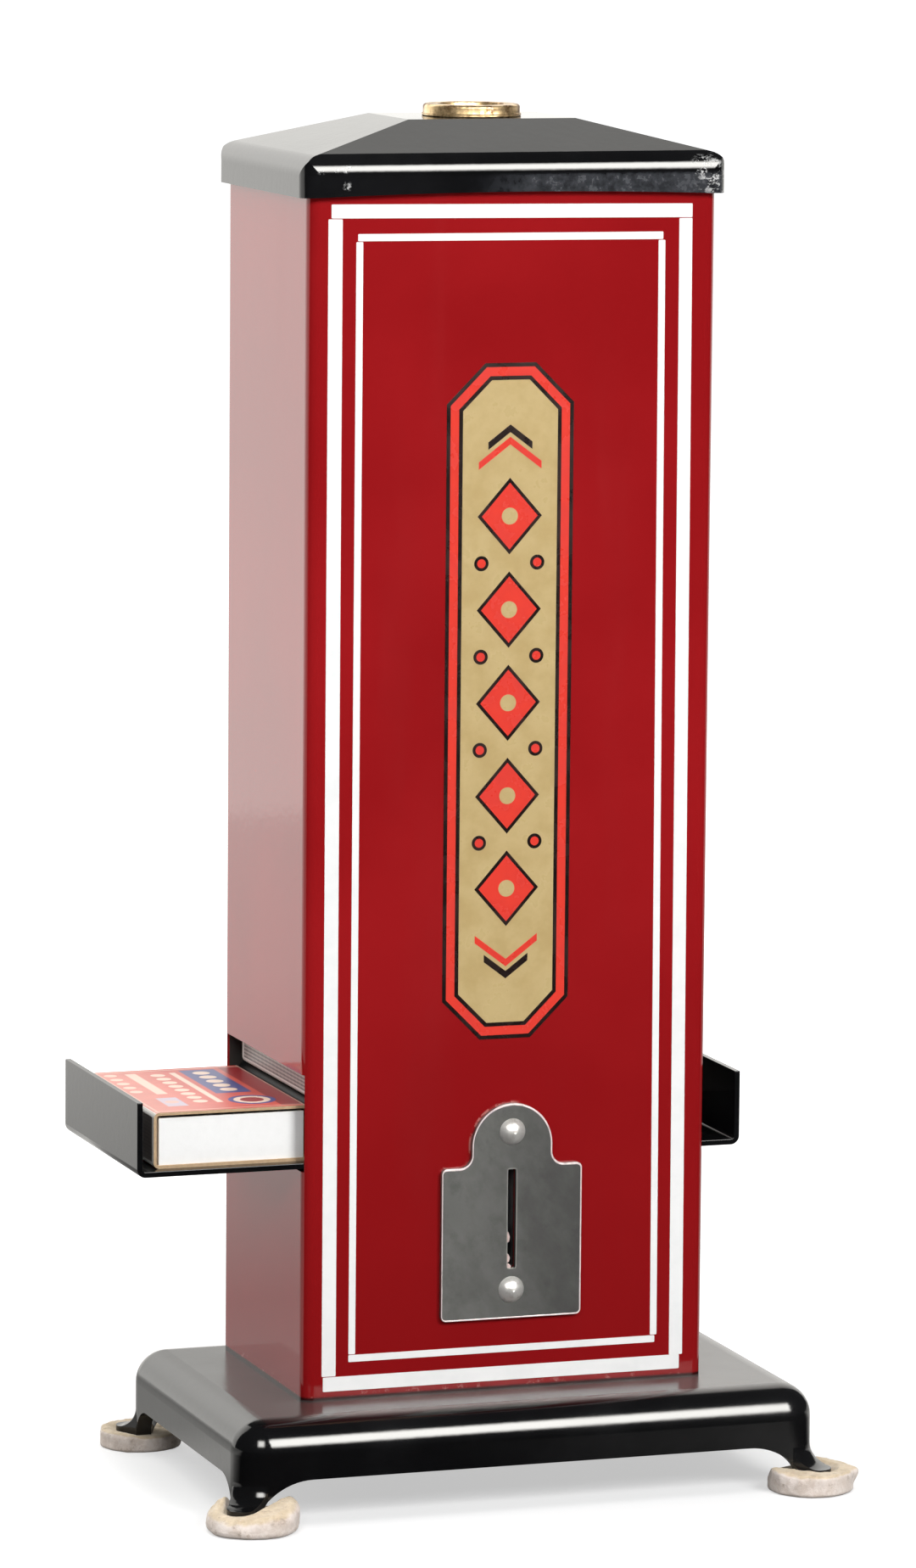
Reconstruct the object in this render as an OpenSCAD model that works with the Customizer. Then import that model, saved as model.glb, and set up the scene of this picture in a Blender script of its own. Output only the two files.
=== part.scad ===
// Countertop match vending machine, in millimetres, +Z up.
// The origin lies on the counter under the middle of the base, and the front faces -Y.

/* [Matchbox] */
// Width of a matchbox, across its striking sides
box_w = 36.6; // [32:0.2:42]
// Length of a matchbox
box_l = 52; // [46:0.5:58]
// Height of a matchbox
box_h = 12.7; // [10:0.1:15]
// Thickness of the sleeve's card
card_t = 0.7; // [0.4:0.1:1]
// Play of the drawer inside its sleeve, on each side
drawer_gap = 0.7; // [0.2:0.1:0.9]
// Matchboxes left in the left magazine
stack_count = 4; // [1:1:12]
// Air between two stacked matchboxes
stack_air = 0.1; // [0.05:0.05:0.3]

/* [Magazines] */
// Sheet thickness of a magazine
mag_t = 0.8; // [0.5:0.1:1.2]
// Play between a matchbox and the magazine's middle wall
mag_gap = 0.4; // [0.3:0.1:0.8]
// Play between a matchbox's end and the magazine's front or rear wall
mag_end_gap = 0.7; // [0.3:0.1:1.5]
// Space between a magazine and the cabinet's front or rear wall
mag_wall_gap = 1.7; // [1.4:0.1:4]
// Space between the two magazines
mid_gap = 14.2; // [14:0.2:24]
// Height left free above the magazines, under the lock's cam screw
mag_headroom = 1.8; // [1:0.2:20]

/* [Cabinet] */
// Height of the cabinet's tube
cab_h = 276; // [240:1:320]
// Outer radius of the tube's upright corners
cab_corner_r = 2.6; // [2:0.1:5]
// Thickness of the cabinet's sheet
sheet_t = 1.2; // [0.8:0.1:1.4]
// Width of the turned-in flanges at the tube's foot
foot_flange_w = 9; // [8.8:0.1:12]
// Free height of the side openings above the tray's ends
open_gap = 4.3; // [1:0.1:6]

/* [Base casting] */
// Reach of the base beyond the cabinet at each side
base_side = 21; // [16:0.5:30]
// Reach of the base beyond the cabinet at the front
base_front = 20.5; // [14:0.1:30]
// Reach of the base beyond the cabinet at the rear
base_rear = 6.6; // [2:0.2:20]
// Height of the casting
base_h = 19.9; // [16:0.1:28]
// Radius of the casting's corners, seen from above
base_corner_r = 7.6; // [7:0.1:14]
// Radius of the casting's upper edge
base_edge_r = 7.4; // [4.5:0.1:9]
// Wall of the casting
base_wall = 3.6; // [2.6:0.1:4.2]
// Height of the arches between the feet
arch_h = 6.8; // [3:0.1:7.4]
// Radius of the front and rear arches' ends
arch_r = 15; // [10:0.5:20]
// Radius of the side arches' ends
side_arch_r = 7.6; // [7.5:0.1:12]
// Width of a corner foot, out to the level part of the front arch
leg_w = 17; // [15.5:0.5:24]
// Depth of a corner foot, out to the level part of the side arch
leg_d = 14.4; // [13:0.2:20]
// How far a toe reaches past its corner, along the diagonal
toe_reach = 5.8; // [3:0.1:8]
// Height at which a toe starts to flare
toe_h = 6.2; // [4.6:0.1:7]
// Width of a toe at its root
toe_w = 12.4; // [10:0.2:14]
// Radius of a toe's tip
toe_tip_r = 3.4; // [2:0.1:4.5]

/* [Felt pads] */
// Diameter of a felt pad
pad_d = 20.5; // [16:0.5:26]
// Thickness of a felt pad
pad_t = 3.7; // [3:0.1:8]
// Edge radius of a felt pad
pad_edge_r = 1.2; // [0.5:0.1:1.4]
// How far a pad's centre lies inside the base's left or right face
pad_inset_x = 3; // [0:0.5:6]
// How far a pad's centre lies outside the base's front or rear face
pad_outset_y = -0.2; // [-3:0.1:3]

/* [Lid] */
// How far the lid's rim reaches down over the tube
lid_drop = 6; // [4:0.2:7]
// Thickness of the lid's rim
lid_wall = 1.6; // [1.2:0.1:3]
// Gap between the lid's rim and the tube
lid_gap = 0.3; // [0.2:0.05:0.6]
// Height of the lid's rim
lid_rim_h = 8.5; // [7.5:0.1:12]
// Radius of the lid's upright corners
lid_corner_r = 3.6; // [3:0.1:6]
// Radius of the lid's eave
lid_edge_r = 4.6; // [2:0.1:5]
// Rise of the hipped roof from eave to flat top
roof_rise = 7.7; // [5:0.1:14]
// Thickness of the roof, measured upright
roof_t = 2.2; // [1.6:0.1:2.6]
// Width of the lid's flat top
flat_w = 39.5; // [32:0.5:50]
// Depth of the lid's flat top
flat_d = 28.5; // [28:0.1:36]
// Bow of the rim's lower edge at the front and the rear
rim_bow = 1; // [0.4:0.1:2]
// Width of the inner ledge that rests on the tube's upper edge, past the sheet
ledge_w = 1; // [0.5:0.1:2]

/* [Lock] */
// Diameter of the brass lock ring
ring_d = 22.4; // [20:0.2:27]
// Height of the lock ring above the lid
ring_h = 2.7; // [2.2:0.1:4]
// Diameter of the lock's barrel
barrel_d = 18; // [16.8:0.1:19]
// Play of the barrel in the lid and the nut, all round
barrel_gap = 0.1; // [0.05:0.05:0.2]
// Diameter of the turning plug
plug_d = 12; // [10:0.1:12.6]
// Running clearance of the plug in the barrel, all round
plug_gap = 0.05; // [0.02:0.01:0.1]
// Diameter of the plug's head and of its lower collar
plug_head_d = 14.6; // [13.4:0.1:15.4]
// Depth of the plug's face below the ring's top
plug_recess = 1.2; // [0.4:0.1:1.4]
// Width across the flats of the lock's nut
nut_af = 23.6; // [20:0.1:24]
// Height of the lock's nut
nut_h = 4; // [2.5:0.1:5]
// Length of the cam
cam_l = 22; // [16:0.5:26]
// Width of the cam
cam_w = 6.2; // [5:0.1:6.6]
// Thickness of the cam
cam_t = 2; // [1.2:0.1:2.6]
// Diameter of the cam's screw
cam_screw_d = 3; // [2.5:0.1:3.4]
// Width of the bar that the cam hooks under
bar_w = 12; // [11:0.2:13]
// Thickness of that bar
bar_t = 1.5; // [1:0.1:2]
// Depth of the bar's top below the tube's upper edge
bar_drop = 8.1; // [6.5:0.1:16]
// Play round the cam where it passes the bar's slot
cam_gap = 0.6; // [0.4:0.1:0.8]

/* [Slide] */
// Full stroke of the slide
travel = 47.4; // [44:0.2:60]
// Place of the slide's middle, measured from the cabinet's middle
slide_pos = -14.8; // [-20:0.1:20]
// Sheet thickness of the tray and its bridge
tray_t = 1.3; // [0.8:0.1:1.6]
// Height of the tray's underside above the base
tray_z = 52.8; // [48:0.1:80]
// Height of the tray's upturned ends
end_h = 17; // [15.5:0.1:24]
// Outer bend radius of the tray and its bridge
bend_r = 2; // [1.8:0.1:3]
// Gap between the tray and the cabinet's front or rear wall
tray_side_gap = 0.2; // [0.15:0.05:0.5]
// Play of a matchbox in its pocket, at each end
box_play = 1.8; // [0.8:0.1:2.2]
// Gap between the tray's matchbox and the bridge that it lies against
box_rest = 0.2; // [0.1:0.1:0.6]
// Free height over a matchbox when the bridge's top passes the stack
drop_gap = 0.5; // [0.3:0.1:1]
// Gap between the stack and the bridge
stack_gap = 0.2; // [0.1:0.05:0.4]
// Width of the bridge's turned-in feet
bridge_foot_w = 8; // [6.5:0.1:12]
// Place of the bridge's rivets in front of and behind the cabinet's middle
bridge_rivet_y = 8; // [7:0.1:9]

/* [Rails and stop] */
// Sheet thickness of the rails
rail_t = 1.3; // [0.8:0.1:2]
// Width of a rail's running face
rail_w = 9; // [8:0.2:12]
// Height of a rail's side against the wall
rail_h = 12; // [8:0.2:16]
// Gap between a rail and the tray
rail_gap = 0.1; // [0.05:0.05:0.3]
// Thickness of the stop plate
stop_t = 1.5; // [1:0.1:2]
// Edge left at each end of the stop plate's long slot
stop_edge = 7.8; // [5:0.1:10]
// Diameter of the slide's stop pin
stop_pin_d = 5; // [3:0.1:6]
// Play between the stop pin and its slot
stop_gap = 0.15; // [0.1:0.05:0.4]
// Place of the stop pin behind the cabinet's middle
stop_pin_y = 14; // [12:0.5:16]
// Diameter of the rivets inside the machine
rivet_d = 3; // [2:0.1:3.4]

/* [Coin plate] */
// Place of the coin slot right of the cabinet's middle
plate_x = 1; // [-3:0.1:3]
// Width of the coin plate
plate_w = 33.4; // [28:0.2:44]
// Thickness of the coin plate
plate_t = 1.2; // [0.8:0.1:2]
// Radius of the plate's round head
head_r = 9.5; // [8:0.1:12]
// Radius of the hollow corner between head and shoulder
plate_fillet_r = 3; // [1:0.1:4]
// Radius of the plate's outer corners
plate_corner_r = 1.2; // [0.5:0.1:3]
// Width of the coin slot
slot_w = 2; // [1.8:0.1:2.2]
// Height of the coin slot
slot_h = 22.8; // [20:0.1:25]
// Radius of the coin slot's corners
slot_end_r = 0.4; // [0.2:0.1:0.8]
// Depth of the slot's upper end below the tray's underside
slot_drop = 2.2; // [2:0.1:4]
// Height of the plate's shoulders above the slot's upper end
shoulder_rise = 0.7; // [-2:0.1:2]
// Height of the upper rivet above the slot's upper end
upper_rivet_rise = 8.6; // [7:0.1:12]
// Depth of the lower rivet below the slot's lower end
lower_rivet_drop = 4.9; // [4.4:0.1:8]
// Margin of the plate above its upper rivet
upper_margin = 6.4; // [5:0.1:10]
// Margin of the plate below its lower rivet
lower_margin = 6.6; // [5:0.1:10]
// Diameter of the plate rivets' heads
plate_rivet_head_d = 6.1; // [5:0.1:7]
// Height of the plate rivets' heads
plate_rivet_head_h = 1.9; // [1:0.1:2.4]

/* [Coin works] */
// Inner width of the coin chute
coin_gap = 2.4; // [2.2:0.1:3]
// Sheet thickness of the chute
chute_t = 0.8; // [0.5:0.1:1]
// Length of the chute behind the front wall
chute_l = 32; // [31:0.5:36]
// Length of the chute's floor
chute_run = 16; // [12:0.5:18]
// Fall of the chute's floor
chute_fall = 6; // [3:0.1:8]
// Distance of the latch's pin behind the front wall
pivot_back = 24; // [22:0.2:25]
// Depth of the latch's pin below the stop plate
pivot_drop = 6.5; // [6:0.1:8]
// Diameter of the latch's pin
latch_pin_d = 3; // [2:0.1:3.6]
// Running clearance of the latch on its pin, all round
latch_pin_gap = 0.05; // [0.02:0.01:0.1]
// Thickness of the latch
latch_t = 1.6; // [1:0.1:1.8]
// Reach of the latch's nose in front of its pin
nose_reach = 12; // [10:0.2:14]
// Width of the latch's nose and arms
nose_w = 2.4; // [1.6:0.1:3]
// Length of the arm that the coin pushes
coin_arm_l = 16; // [12:0.5:18]
// Gap between the released nose and the tray
nose_gap = 0.4; // [0.3:0.1:0.8]
// Swing of the latch from released to engaged, in degrees
latch_swing = 9; // [6:0.5:12]
// Thickness of the latch's leaf spring
spring_t = 0.5; // [0.3:0.1:0.8]

/* [Cash box] */
// Sheet thickness of the cash box
cash_t = 0.8; // [0.5:0.1:1.5]
// Gap between the cash box and what stands beside it
cash_gap = 1; // [0.4:0.1:2]
// Gap between the cash box's rim and the chute
cash_headroom = 1; // [0.5:0.1:6]

/* [Base screws] */
// Diameter of the base screws
screw_d = 4; // [3:0.1:5]
// Diameter of their heads
screw_head_d = 8; // [6:0.1:9]
// Height of their heads
screw_head_h = 2.4; // [1.5:0.1:3]
// Width across the flats of their nuts
screw_nut_af = 7; // [6:0.1:8]
// Height of their nuts
screw_nut_h = 3; // [2:0.1:4]
// Play of a screw or rivet in its hole, all round
hole_gap = 0.05; // [0.03:0.01:0.2]

/* [Hidden] */
$fn = 64;
cut = 1; // how far a cutting shape reaches past the face it cuts

// Cabinet: its width holds two columns, its depth one matchbox between the magazine's walls
pocket_l = box_w + 2 * box_play;
cab_w = 2 * (mid_gap / 2 + mag_t + mag_gap + box_w + box_play + tray_t);
cab_d = box_l + 2 * (mag_end_gap + mag_t + mag_wall_gap + sheet_t);
cab_in_w = cab_w - 2 * sheet_t;
cab_in_d = cab_d - 2 * sheet_t;
cab_y = (base_front - base_rear) / 2;
front_y = cab_y - cab_d / 2;
inner_front_y = front_y + sheet_t;
inner_rear_y = cab_y + cab_in_d / 2;

// Base
base_w = cab_w + 2 * base_side;
base_d = cab_d + base_front + base_rear;
base_z = pad_t + base_h;
toe_tip_h = 1.2;
fillet_rest = 0.1; // what the upper fillet leaves of the corners' radius
base_fillet_r = min(base_edge_r, base_corner_r - fillet_rest);
toe_r = toe_h - toe_tip_h;
pad_x = base_w / 2 - pad_inset_x;
pad_y = base_d / 2 + pad_outset_y;

// Slide
stroke = travel / 2;
tray_l = cab_w + travel;
tray_d = cab_in_d - 2 * tray_side_gap;
tray_bottom = base_z + tray_z;
floor_z = tray_bottom + tray_t;
bridge_w = tray_l - 2 * (tray_t + pocket_l);
bridge_h = box_h + drop_gap;
bridge_z = floor_z + bridge_h;
stack_z = bridge_z + stack_gap;
pocket_x = tray_l / 2 - tray_t - pocket_l / 2;
column_x = pocket_x - stroke;
bridge_head_h = 0.6; // rivet heads under the tray, which pass over the openings' lower edges
open_below = bridge_head_h + 0.2;
open_low_z = tray_bottom - open_below;
open_high_z = tray_bottom + end_h + open_gap;
bridge_rivet_x = bridge_w / 2 - tray_t - bridge_foot_w / 2;

// Rails, stop plate and coin works
rail_z = tray_bottom - rail_gap;
stop_z = rail_z - rail_t;
stop_low_z = stop_z - stop_t;
stop_half_w = stroke + stop_pin_d / 2 + stop_edge;
rail_rivet_x = stroke;
rail_rivet_edge = 3.6; // from a rail's free edge to its rivets
rail_rivet_in = rail_w - rail_rivet_edge;
rivet_head_d = 1.8 * rivet_d;
rivet_head_h = rivet_d / 3;
slot_high_z = tray_bottom - slot_drop;
slot_low_z = slot_high_z - slot_h;
chute_w = coin_gap + 2 * chute_t;
chute_low_z = slot_low_z - chute_fall - chute_t;
pivot_y = inner_front_y + pivot_back;
pivot_z = stop_low_z - pivot_drop;
hub_wall = 1.7;
hub_r = latch_pin_d / 2 + hub_wall;
nose_h = tray_bottom - nose_gap - pivot_z;
tail_l = 6.5;
// the nose at full swing, measured from the pin
nose_up_y = nose_h * sin(latch_swing) - nose_reach * cos(latch_swing);
nose_room = 0.6;

// Coin plate
upper_rivet_z = slot_high_z + upper_rivet_rise;
lower_rivet_z = slot_low_z - lower_rivet_drop;
plate_low_z = lower_rivet_z - lower_margin;
plate_high_z = upper_rivet_z + upper_margin;
shoulder_z = slot_high_z + shoulder_rise;

// Lid and lock
cab_z = base_z + cab_h;
lid_w = cab_w + 2 * (lid_gap + lid_wall);
lid_d = cab_d + 2 * (lid_gap + lid_wall);
rim_z = cab_z - lid_drop;
eave_z = rim_z + lid_rim_h;
flat_z = eave_z + roof_rise;
bow_r = (pow(lid_w / 2, 2) + pow(rim_bow, 2)) / (2 * rim_bow);
bar_z = cab_z - bar_drop;
collar_gap = 0.7;
collar_h = 2.3;
collar_z = bar_z + collar_gap;
barrel_play = 0.3;
barrel_low_z = collar_z + collar_h + barrel_play;
cam_clear = 0.4;
cam_z = bar_z - bar_t - cam_clear - cam_t;
cam_screw_head_h = 1.8;
cam_screw_l = 5;
spindle_gap = 0.1;
spindle_d = cam_w - 2 * spindle_gap;
head_h = 1.1;
plug_top_z = flat_z + ring_h - plug_recess;
head_play = 0.1;
recess_z = plug_top_z - head_h - head_play;

// Magazines
mag_rise = 0.6; // height of a magazine's foot above the side openings
mag_z = open_high_z + mag_rise;
mag_top_z = cam_z - cam_screw_head_h - mag_headroom;
mag_in_x = column_x - box_w / 2 - mag_gap;
mag_d = box_l + 2 * (mag_end_gap + mag_t);

// Cash box and screws
cash_w = cab_in_w - 2 * (foot_flange_w + cash_gap);
cash_d = cab_in_d - 2 * cash_gap;
cash_h = chute_low_z - cash_headroom - base_z;
screw_x = cab_in_w / 2 - foot_flange_w / 2;
screw_y = cab_d / 4;

red = [0.58, 0.08, 0.1];
black = [0.05, 0.05, 0.055];
steel = [0.62, 0.62, 0.62];
brass = [0.78, 0.6, 0.28];
zinc = [0.72, 0.73, 0.75];
felt = [0.78, 0.72, 0.64];
card = [0.7, 0.58, 0.42];
label_red = [0.78, 0.25, 0.2];

// Outlines that repeat

module rounded_rect(w, d, r) {
    square([w - 2 * r, d], center = true);
    square([w, d - 2 * r], center = true);
    for (sx = [-1, 1], sy = [-1, 1])
        translate([sx * (w / 2 - r), sy * (d / 2 - r)]) circle(r);
}

// slot with round ends, its length along X
module stadium(l, w) {
    square([l - w, w], center = true);
    for (s = [-1, 1])
        translate([s * (l - w) / 2, 0]) circle(d = w);
}

// rectangle on the X axis whose two lower corners are round
module round_bottomed(w, h, r) {
    translate([-w / 2, r]) square([w, h - r]);
    translate([-w / 2 + r, 0]) square([w - 2 * r, h]);
    for (s = [-1, 1])
        translate([s * (w / 2 - r), r]) circle(r);
}

// channel of bent sheet, open at the top
module channel(w, h, t, r) {
    difference() {
        round_bottomed(w, h, r);
        translate([0, t]) round_bottomed(w - 2 * t, h, r - t);
    }
}

// stands a front-view outline up and gives it a depth, centred on y
module along_y(depth, y) {
    translate([0, y + depth / 2, 0]) rotate([90, 0, 0]) linear_extrude(depth) children();
}

// stands a side-view outline up and gives it a width, centred on x
module along_x(width, x) {
    translate([x - width / 2, 0, 0]) rotate([90, 0, 90]) linear_extrude(width) children();
}

// domed head on the plane z = 0
module dome(d, h) {
    r = (pow(d / 2, 2) + h * h) / (2 * h);
    intersection() {
        translate([0, 0, h - r]) sphere(r);
        cylinder(d = d + cut, h = h + cut);
    }
}

// rivet whose grip runs up from z = 0, with a formed head at its foot
module rivet(d, grip, head_d, head_h) {
    cylinder(d = d, h = grip);
    mirror([0, 0, 1]) dome(head_d, head_h);
}

module hex_nut(af, h, bore_d) {
    difference() {
        cylinder(d = af / cos(30), h = h, $fn = 6);
        translate([0, 0, -cut]) cylinder(d = bore_d, h = h + 2 * cut);
    }
}

module at_base_screws() {
    for (sx = [-1, 1], sy = [-1, 1])
        translate([sx * screw_x, cab_y + sy * screw_y, 0]) children();
}

module at_bridge_rivets() {
    for (sx = [-1, 1], sy = [-1, 1])
        translate([slide_pos + sx * bridge_rivet_x, cab_y + sy * bridge_rivet_y, 0]) children();
}

module at_rail_rivets() {
    for (sx = [-1, 1], y = [inner_front_y + rail_rivet_in, inner_rear_y - rail_rivet_in])
        translate([sx * rail_rivet_x, y, 0]) children();
}

module at_plate_rivets() {
    for (z = [lower_rivet_z, upper_rivet_z])
        translate([plate_x, front_y, z]) rotate([-90, 0, 0]) children();
}

// Base and feet

// section through the casting's edge, measured outwards from the corner's centre
module base_section() {
    r = base_corner_r;
    in_r = base_fillet_r - base_wall;
    in_x = r - base_wall;
    in_z = base_h - base_wall;
    difference() {
        union() {
            square([r - base_fillet_r, base_h]);
            square([r, base_h - base_fillet_r]);
            translate([r - base_fillet_r, base_h - base_fillet_r]) circle(base_fillet_r);
        }
        translate([-cut, -cut]) square([in_x + cut, in_z - in_r + cut]);
        translate([-cut, -cut]) square([in_x - in_r + cut, in_z + cut]);
        translate([in_x - in_r, in_z - in_r]) circle(in_r);
        translate([-base_h, -base_h]) square([base_h, 2 * base_h]);
    }
}

// toe on the corner's diagonal: a tongue whose upper face sweeps up to the foot
module toe() {
    root = base_corner_r - base_wall;
    tip = base_corner_r + toe_reach;
    intersection() {
        rotate_extrude(angle = 90) difference() {
            translate([root, 0]) square([tip - root + cut, toe_h]);
            translate([base_corner_r + toe_r, toe_h]) circle(toe_r);
            translate([base_corner_r + toe_r, toe_tip_h]) square([tip, toe_h]);
        }
        rotate(45) linear_extrude(toe_h) {
            reach = tip - toe_tip_r;
            polygon([[0, -toe_w / 2], [reach, -toe_tip_r], [reach, toe_tip_r], [0, toe_w / 2]]);
            translate([reach, 0]) circle(toe_tip_r);
        }
    }
}

// arch between two feet, open downwards
module arch(half, r) {
    translate([-half, -r]) square([2 * half, r + arch_h]);
    for (s = [-1, 1])
        translate([s * half, arch_h - r]) circle(r);
}

module base_corner() {
    rotate_extrude(angle = 90) base_section();
    toe();
}

module base_casting() {
    corner_x = base_w / 2 - base_corner_r;
    corner_y = base_d / 2 - base_corner_r;
    color(black) difference() {
        translate([0, 0, pad_t]) difference() {
            union() {
                translate([-corner_x, -corner_y, base_h - base_wall])
                    cube([2 * corner_x, 2 * corner_y, base_wall]);
                for (s = [0, 1]) rotate(180 * s) {
                    translate([corner_x, corner_y, 0]) base_corner();
                    translate([-corner_x, corner_y, 0]) rotate(90) base_corner();
                    translate([corner_x, corner_y, 0])
                        rotate([90, 0, 0]) linear_extrude(2 * corner_y) base_section();
                    translate([-corner_x, corner_y, 0])
                        rotate([90, 0, 90]) linear_extrude(2 * corner_x) base_section();
                }
            }
            along_y(2 * base_d, 0) arch(base_w / 2 - leg_w, arch_r);
            along_x(2 * base_w, 0) arch(base_d / 2 - leg_d, side_arch_r);
        }
        at_base_screws() cylinder(d = screw_d + 2 * hole_gap, h = base_z + cut);
    }
}

module felt_pad(sx, sy) {
    color(felt) translate([sx * pad_x, sy * pad_y, 0]) rotate_extrude() intersection() {
        translate([0, pad_t / 2]) rounded_rect(pad_d, pad_t, pad_edge_r);
        square([pad_d, pad_t]);
    }
}

module base_screws() {
    color(zinc) at_base_screws() {
        grip_z = base_z - base_wall;
        translate([0, 0, grip_z]) cylinder(d = screw_d, h = base_wall + sheet_t + screw_nut_h + cut);
        translate([0, 0, grip_z]) mirror([0, 0, 1]) dome(screw_head_d, screw_head_h);
    }
}

module base_nuts() {
    color(zinc) at_base_screws() translate([0, 0, base_z + sheet_t])
        hex_nut(screw_nut_af, screw_nut_h, screw_d + 2 * hole_gap);
}

// Cabinet

module cabinet_shell() {
    color(red) difference() {
        union() {
            translate([0, cab_y, base_z]) linear_extrude(cab_h) difference() {
                rounded_rect(cab_w, cab_d, cab_corner_r);
                rounded_rect(cab_in_w, cab_in_d, cab_corner_r - sheet_t);
            }
            for (s = [-1, 1])
                translate([s * screw_x, cab_y, base_z + sheet_t / 2])
                    cube([foot_flange_w + sheet_t, cab_in_d - 2 * cab_corner_r, sheet_t], center = true);
        }
        translate([-cab_w, cab_y - cab_in_d / 2, open_low_z])
            cube([2 * cab_w, cab_in_d, open_high_z - open_low_z]);
        along_y(2 * sheet_t + cut, front_y) coin_slot(hole_gap);
        at_plate_rivets() cylinder(d = rivet_d + 2 * hole_gap, h = 2 * sheet_t + cut, center = true);
        at_base_screws() cylinder(d = screw_d + 2 * hole_gap, h = base_z + sheet_t + cut);
    }
}

// Lid and lock

// half-round eaves under a hipped roof, seen from the front or the side
module roof_section(half, flat_half, low_z, high_eave_z, top_z, r) {
    slope = atan2(top_z - high_eave_z, half - flat_half);
    t = r / tan(45 + slope / 2);
    knee_z = high_eave_z - t;
    right = [
        [half, low_z], [half, knee_z], [half - r, knee_z],
        [half - t * cos(slope), high_eave_z + t * sin(slope)], [flat_half, top_z]
    ];
    left = [for (i = [len(right) - 1 : -1 : 0]) [-right[i][0], right[i][1]]];
    polygon(concat(right, left));
    for (s = [-1, 1])
        translate([s * (half - r), knee_z]) circle(r);
}

module hipped_block(w, d, corner_r, low_z, block_eave_z, top_z, edge_r) {
    intersection() {
        translate([0, cab_y, low_z]) linear_extrude(top_z - low_z + cut) rounded_rect(w, d, corner_r);
        along_y(2 * d, cab_y) roof_section(w / 2, flat_w / 2, low_z, block_eave_z, top_z, edge_r);
        translate([0, cab_y, 0]) along_x(2 * w, 0)
            roof_section(d / 2, flat_d / 2, low_z, block_eave_z, top_z, edge_r);
    }
}

module lid() {
    ledge = sheet_t + ledge_w;
    color(black) difference() {
        hipped_block(lid_w, lid_d, lid_corner_r, rim_z, eave_z, flat_z, lid_edge_r);
        translate([0, cab_y, rim_z - cut]) linear_extrude(lid_drop + cut)
            rounded_rect(cab_w + 2 * lid_gap, cab_d + 2 * lid_gap, cab_corner_r + lid_gap);
        intersection() {
            hipped_block(lid_w, lid_d, lid_corner_r, rim_z - roof_t,
                eave_z - roof_t, flat_z - roof_t, lid_edge_r);
            translate([0, cab_y, rim_z]) linear_extrude(flat_z)
                rounded_rect(cab_w - 2 * ledge, cab_d - 2 * ledge, cab_corner_r);
        }
        translate([0, cab_y, rim_z]) cylinder(d = barrel_d + 2 * barrel_gap, h = flat_z);
        along_y(2 * lid_d, cab_y) translate([0, rim_z + rim_bow - bow_r]) circle(bow_r);
    }
}

module lock_housing() {
    ring_edge_r = 0.7;
    ring_foot = 0.6;
    ring_step = 0.25;
    upper_r = ring_d / 2 - ring_step;
    color(brass) translate([0, cab_y, 0]) rotate_extrude() difference() {
        union() {
            translate([0, barrel_low_z]) square([barrel_d / 2, flat_z - barrel_low_z]);
            translate([0, flat_z]) square([ring_d / 2, ring_foot]);
            translate([0, flat_z]) square([upper_r - ring_edge_r, ring_h]);
            translate([0, flat_z]) square([upper_r, ring_h - ring_edge_r]);
            translate([upper_r - ring_edge_r, flat_z + ring_h - ring_edge_r]) circle(ring_edge_r);
        }
        translate([0, barrel_low_z - cut]) square([plug_d / 2 + plug_gap, flat_z]);
        translate([0, recess_z]) square([plug_head_d / 2 + barrel_play, flat_z]);
        translate([-ring_d, 0]) square([ring_d, 2 * flat_z]);
    }
}

module lock_nut() {
    color(brass) translate([0, cab_y, flat_z - roof_t - nut_h])
        hex_nut(nut_af, nut_h, barrel_d + 2 * barrel_gap);
}

module lock_plug() {
    key_w = 1.6;
    key_l = 7.5;
    key_deep = 3;
    color(brass) translate([0, cab_y, 0]) difference() {
        union() {
            translate([0, 0, cam_z + cam_t]) cylinder(d = spindle_d, h = collar_z - cam_z);
            translate([0, 0, collar_z]) cylinder(d = plug_head_d, h = collar_h);
            translate([0, 0, collar_z]) cylinder(d = plug_d, h = plug_top_z - collar_z);
            translate([0, 0, plug_top_z - head_h]) cylinder(d = plug_head_d, h = head_h);
        }
        translate([-key_w / 2, -key_l / 2, plug_top_z - key_deep]) cube([key_w, key_l, key_deep + cut]);
        cylinder(d = cam_screw_d + 2 * hole_gap, h = cam_z + cam_t + cam_screw_l + cut);
    }
}

module lock_cam() {
    color(zinc) translate([0, cab_y, cam_z]) linear_extrude(cam_t) difference() {
        rotate(90) stadium(cam_l, cam_w);
        circle(d = cam_screw_d + 2 * hole_gap);
    }
}

module cam_screw() {
    color(zinc) translate([0, cab_y, cam_z]) {
        cylinder(d = cam_screw_d, h = cam_t + cam_screw_l);
        mirror([0, 0, 1]) dome(cam_w - cam_gap, cam_screw_head_h);
    }
}

module lock_bar() {
    tab_h = 10;
    color(zinc) difference() {
        along_x(bar_w, 0) translate([cab_y, bar_z]) mirror([0, 1])
            channel(cab_in_d, tab_h, bar_t, bend_r);
        translate([0, cab_y, bar_z - bar_t - cut]) linear_extrude(bar_t + 2 * cut)
            rotate(90) stadium(cam_l + 2 * cam_gap, cam_w + 2 * cam_gap);
    }
}

// Coin plate and coin works

module coin_slot(gap) {
    translate([plate_x, (slot_low_z + slot_high_z) / 2])
        rounded_rect(slot_w + 2 * gap, slot_h + 2 * gap, slot_end_r + gap);
}

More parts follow.
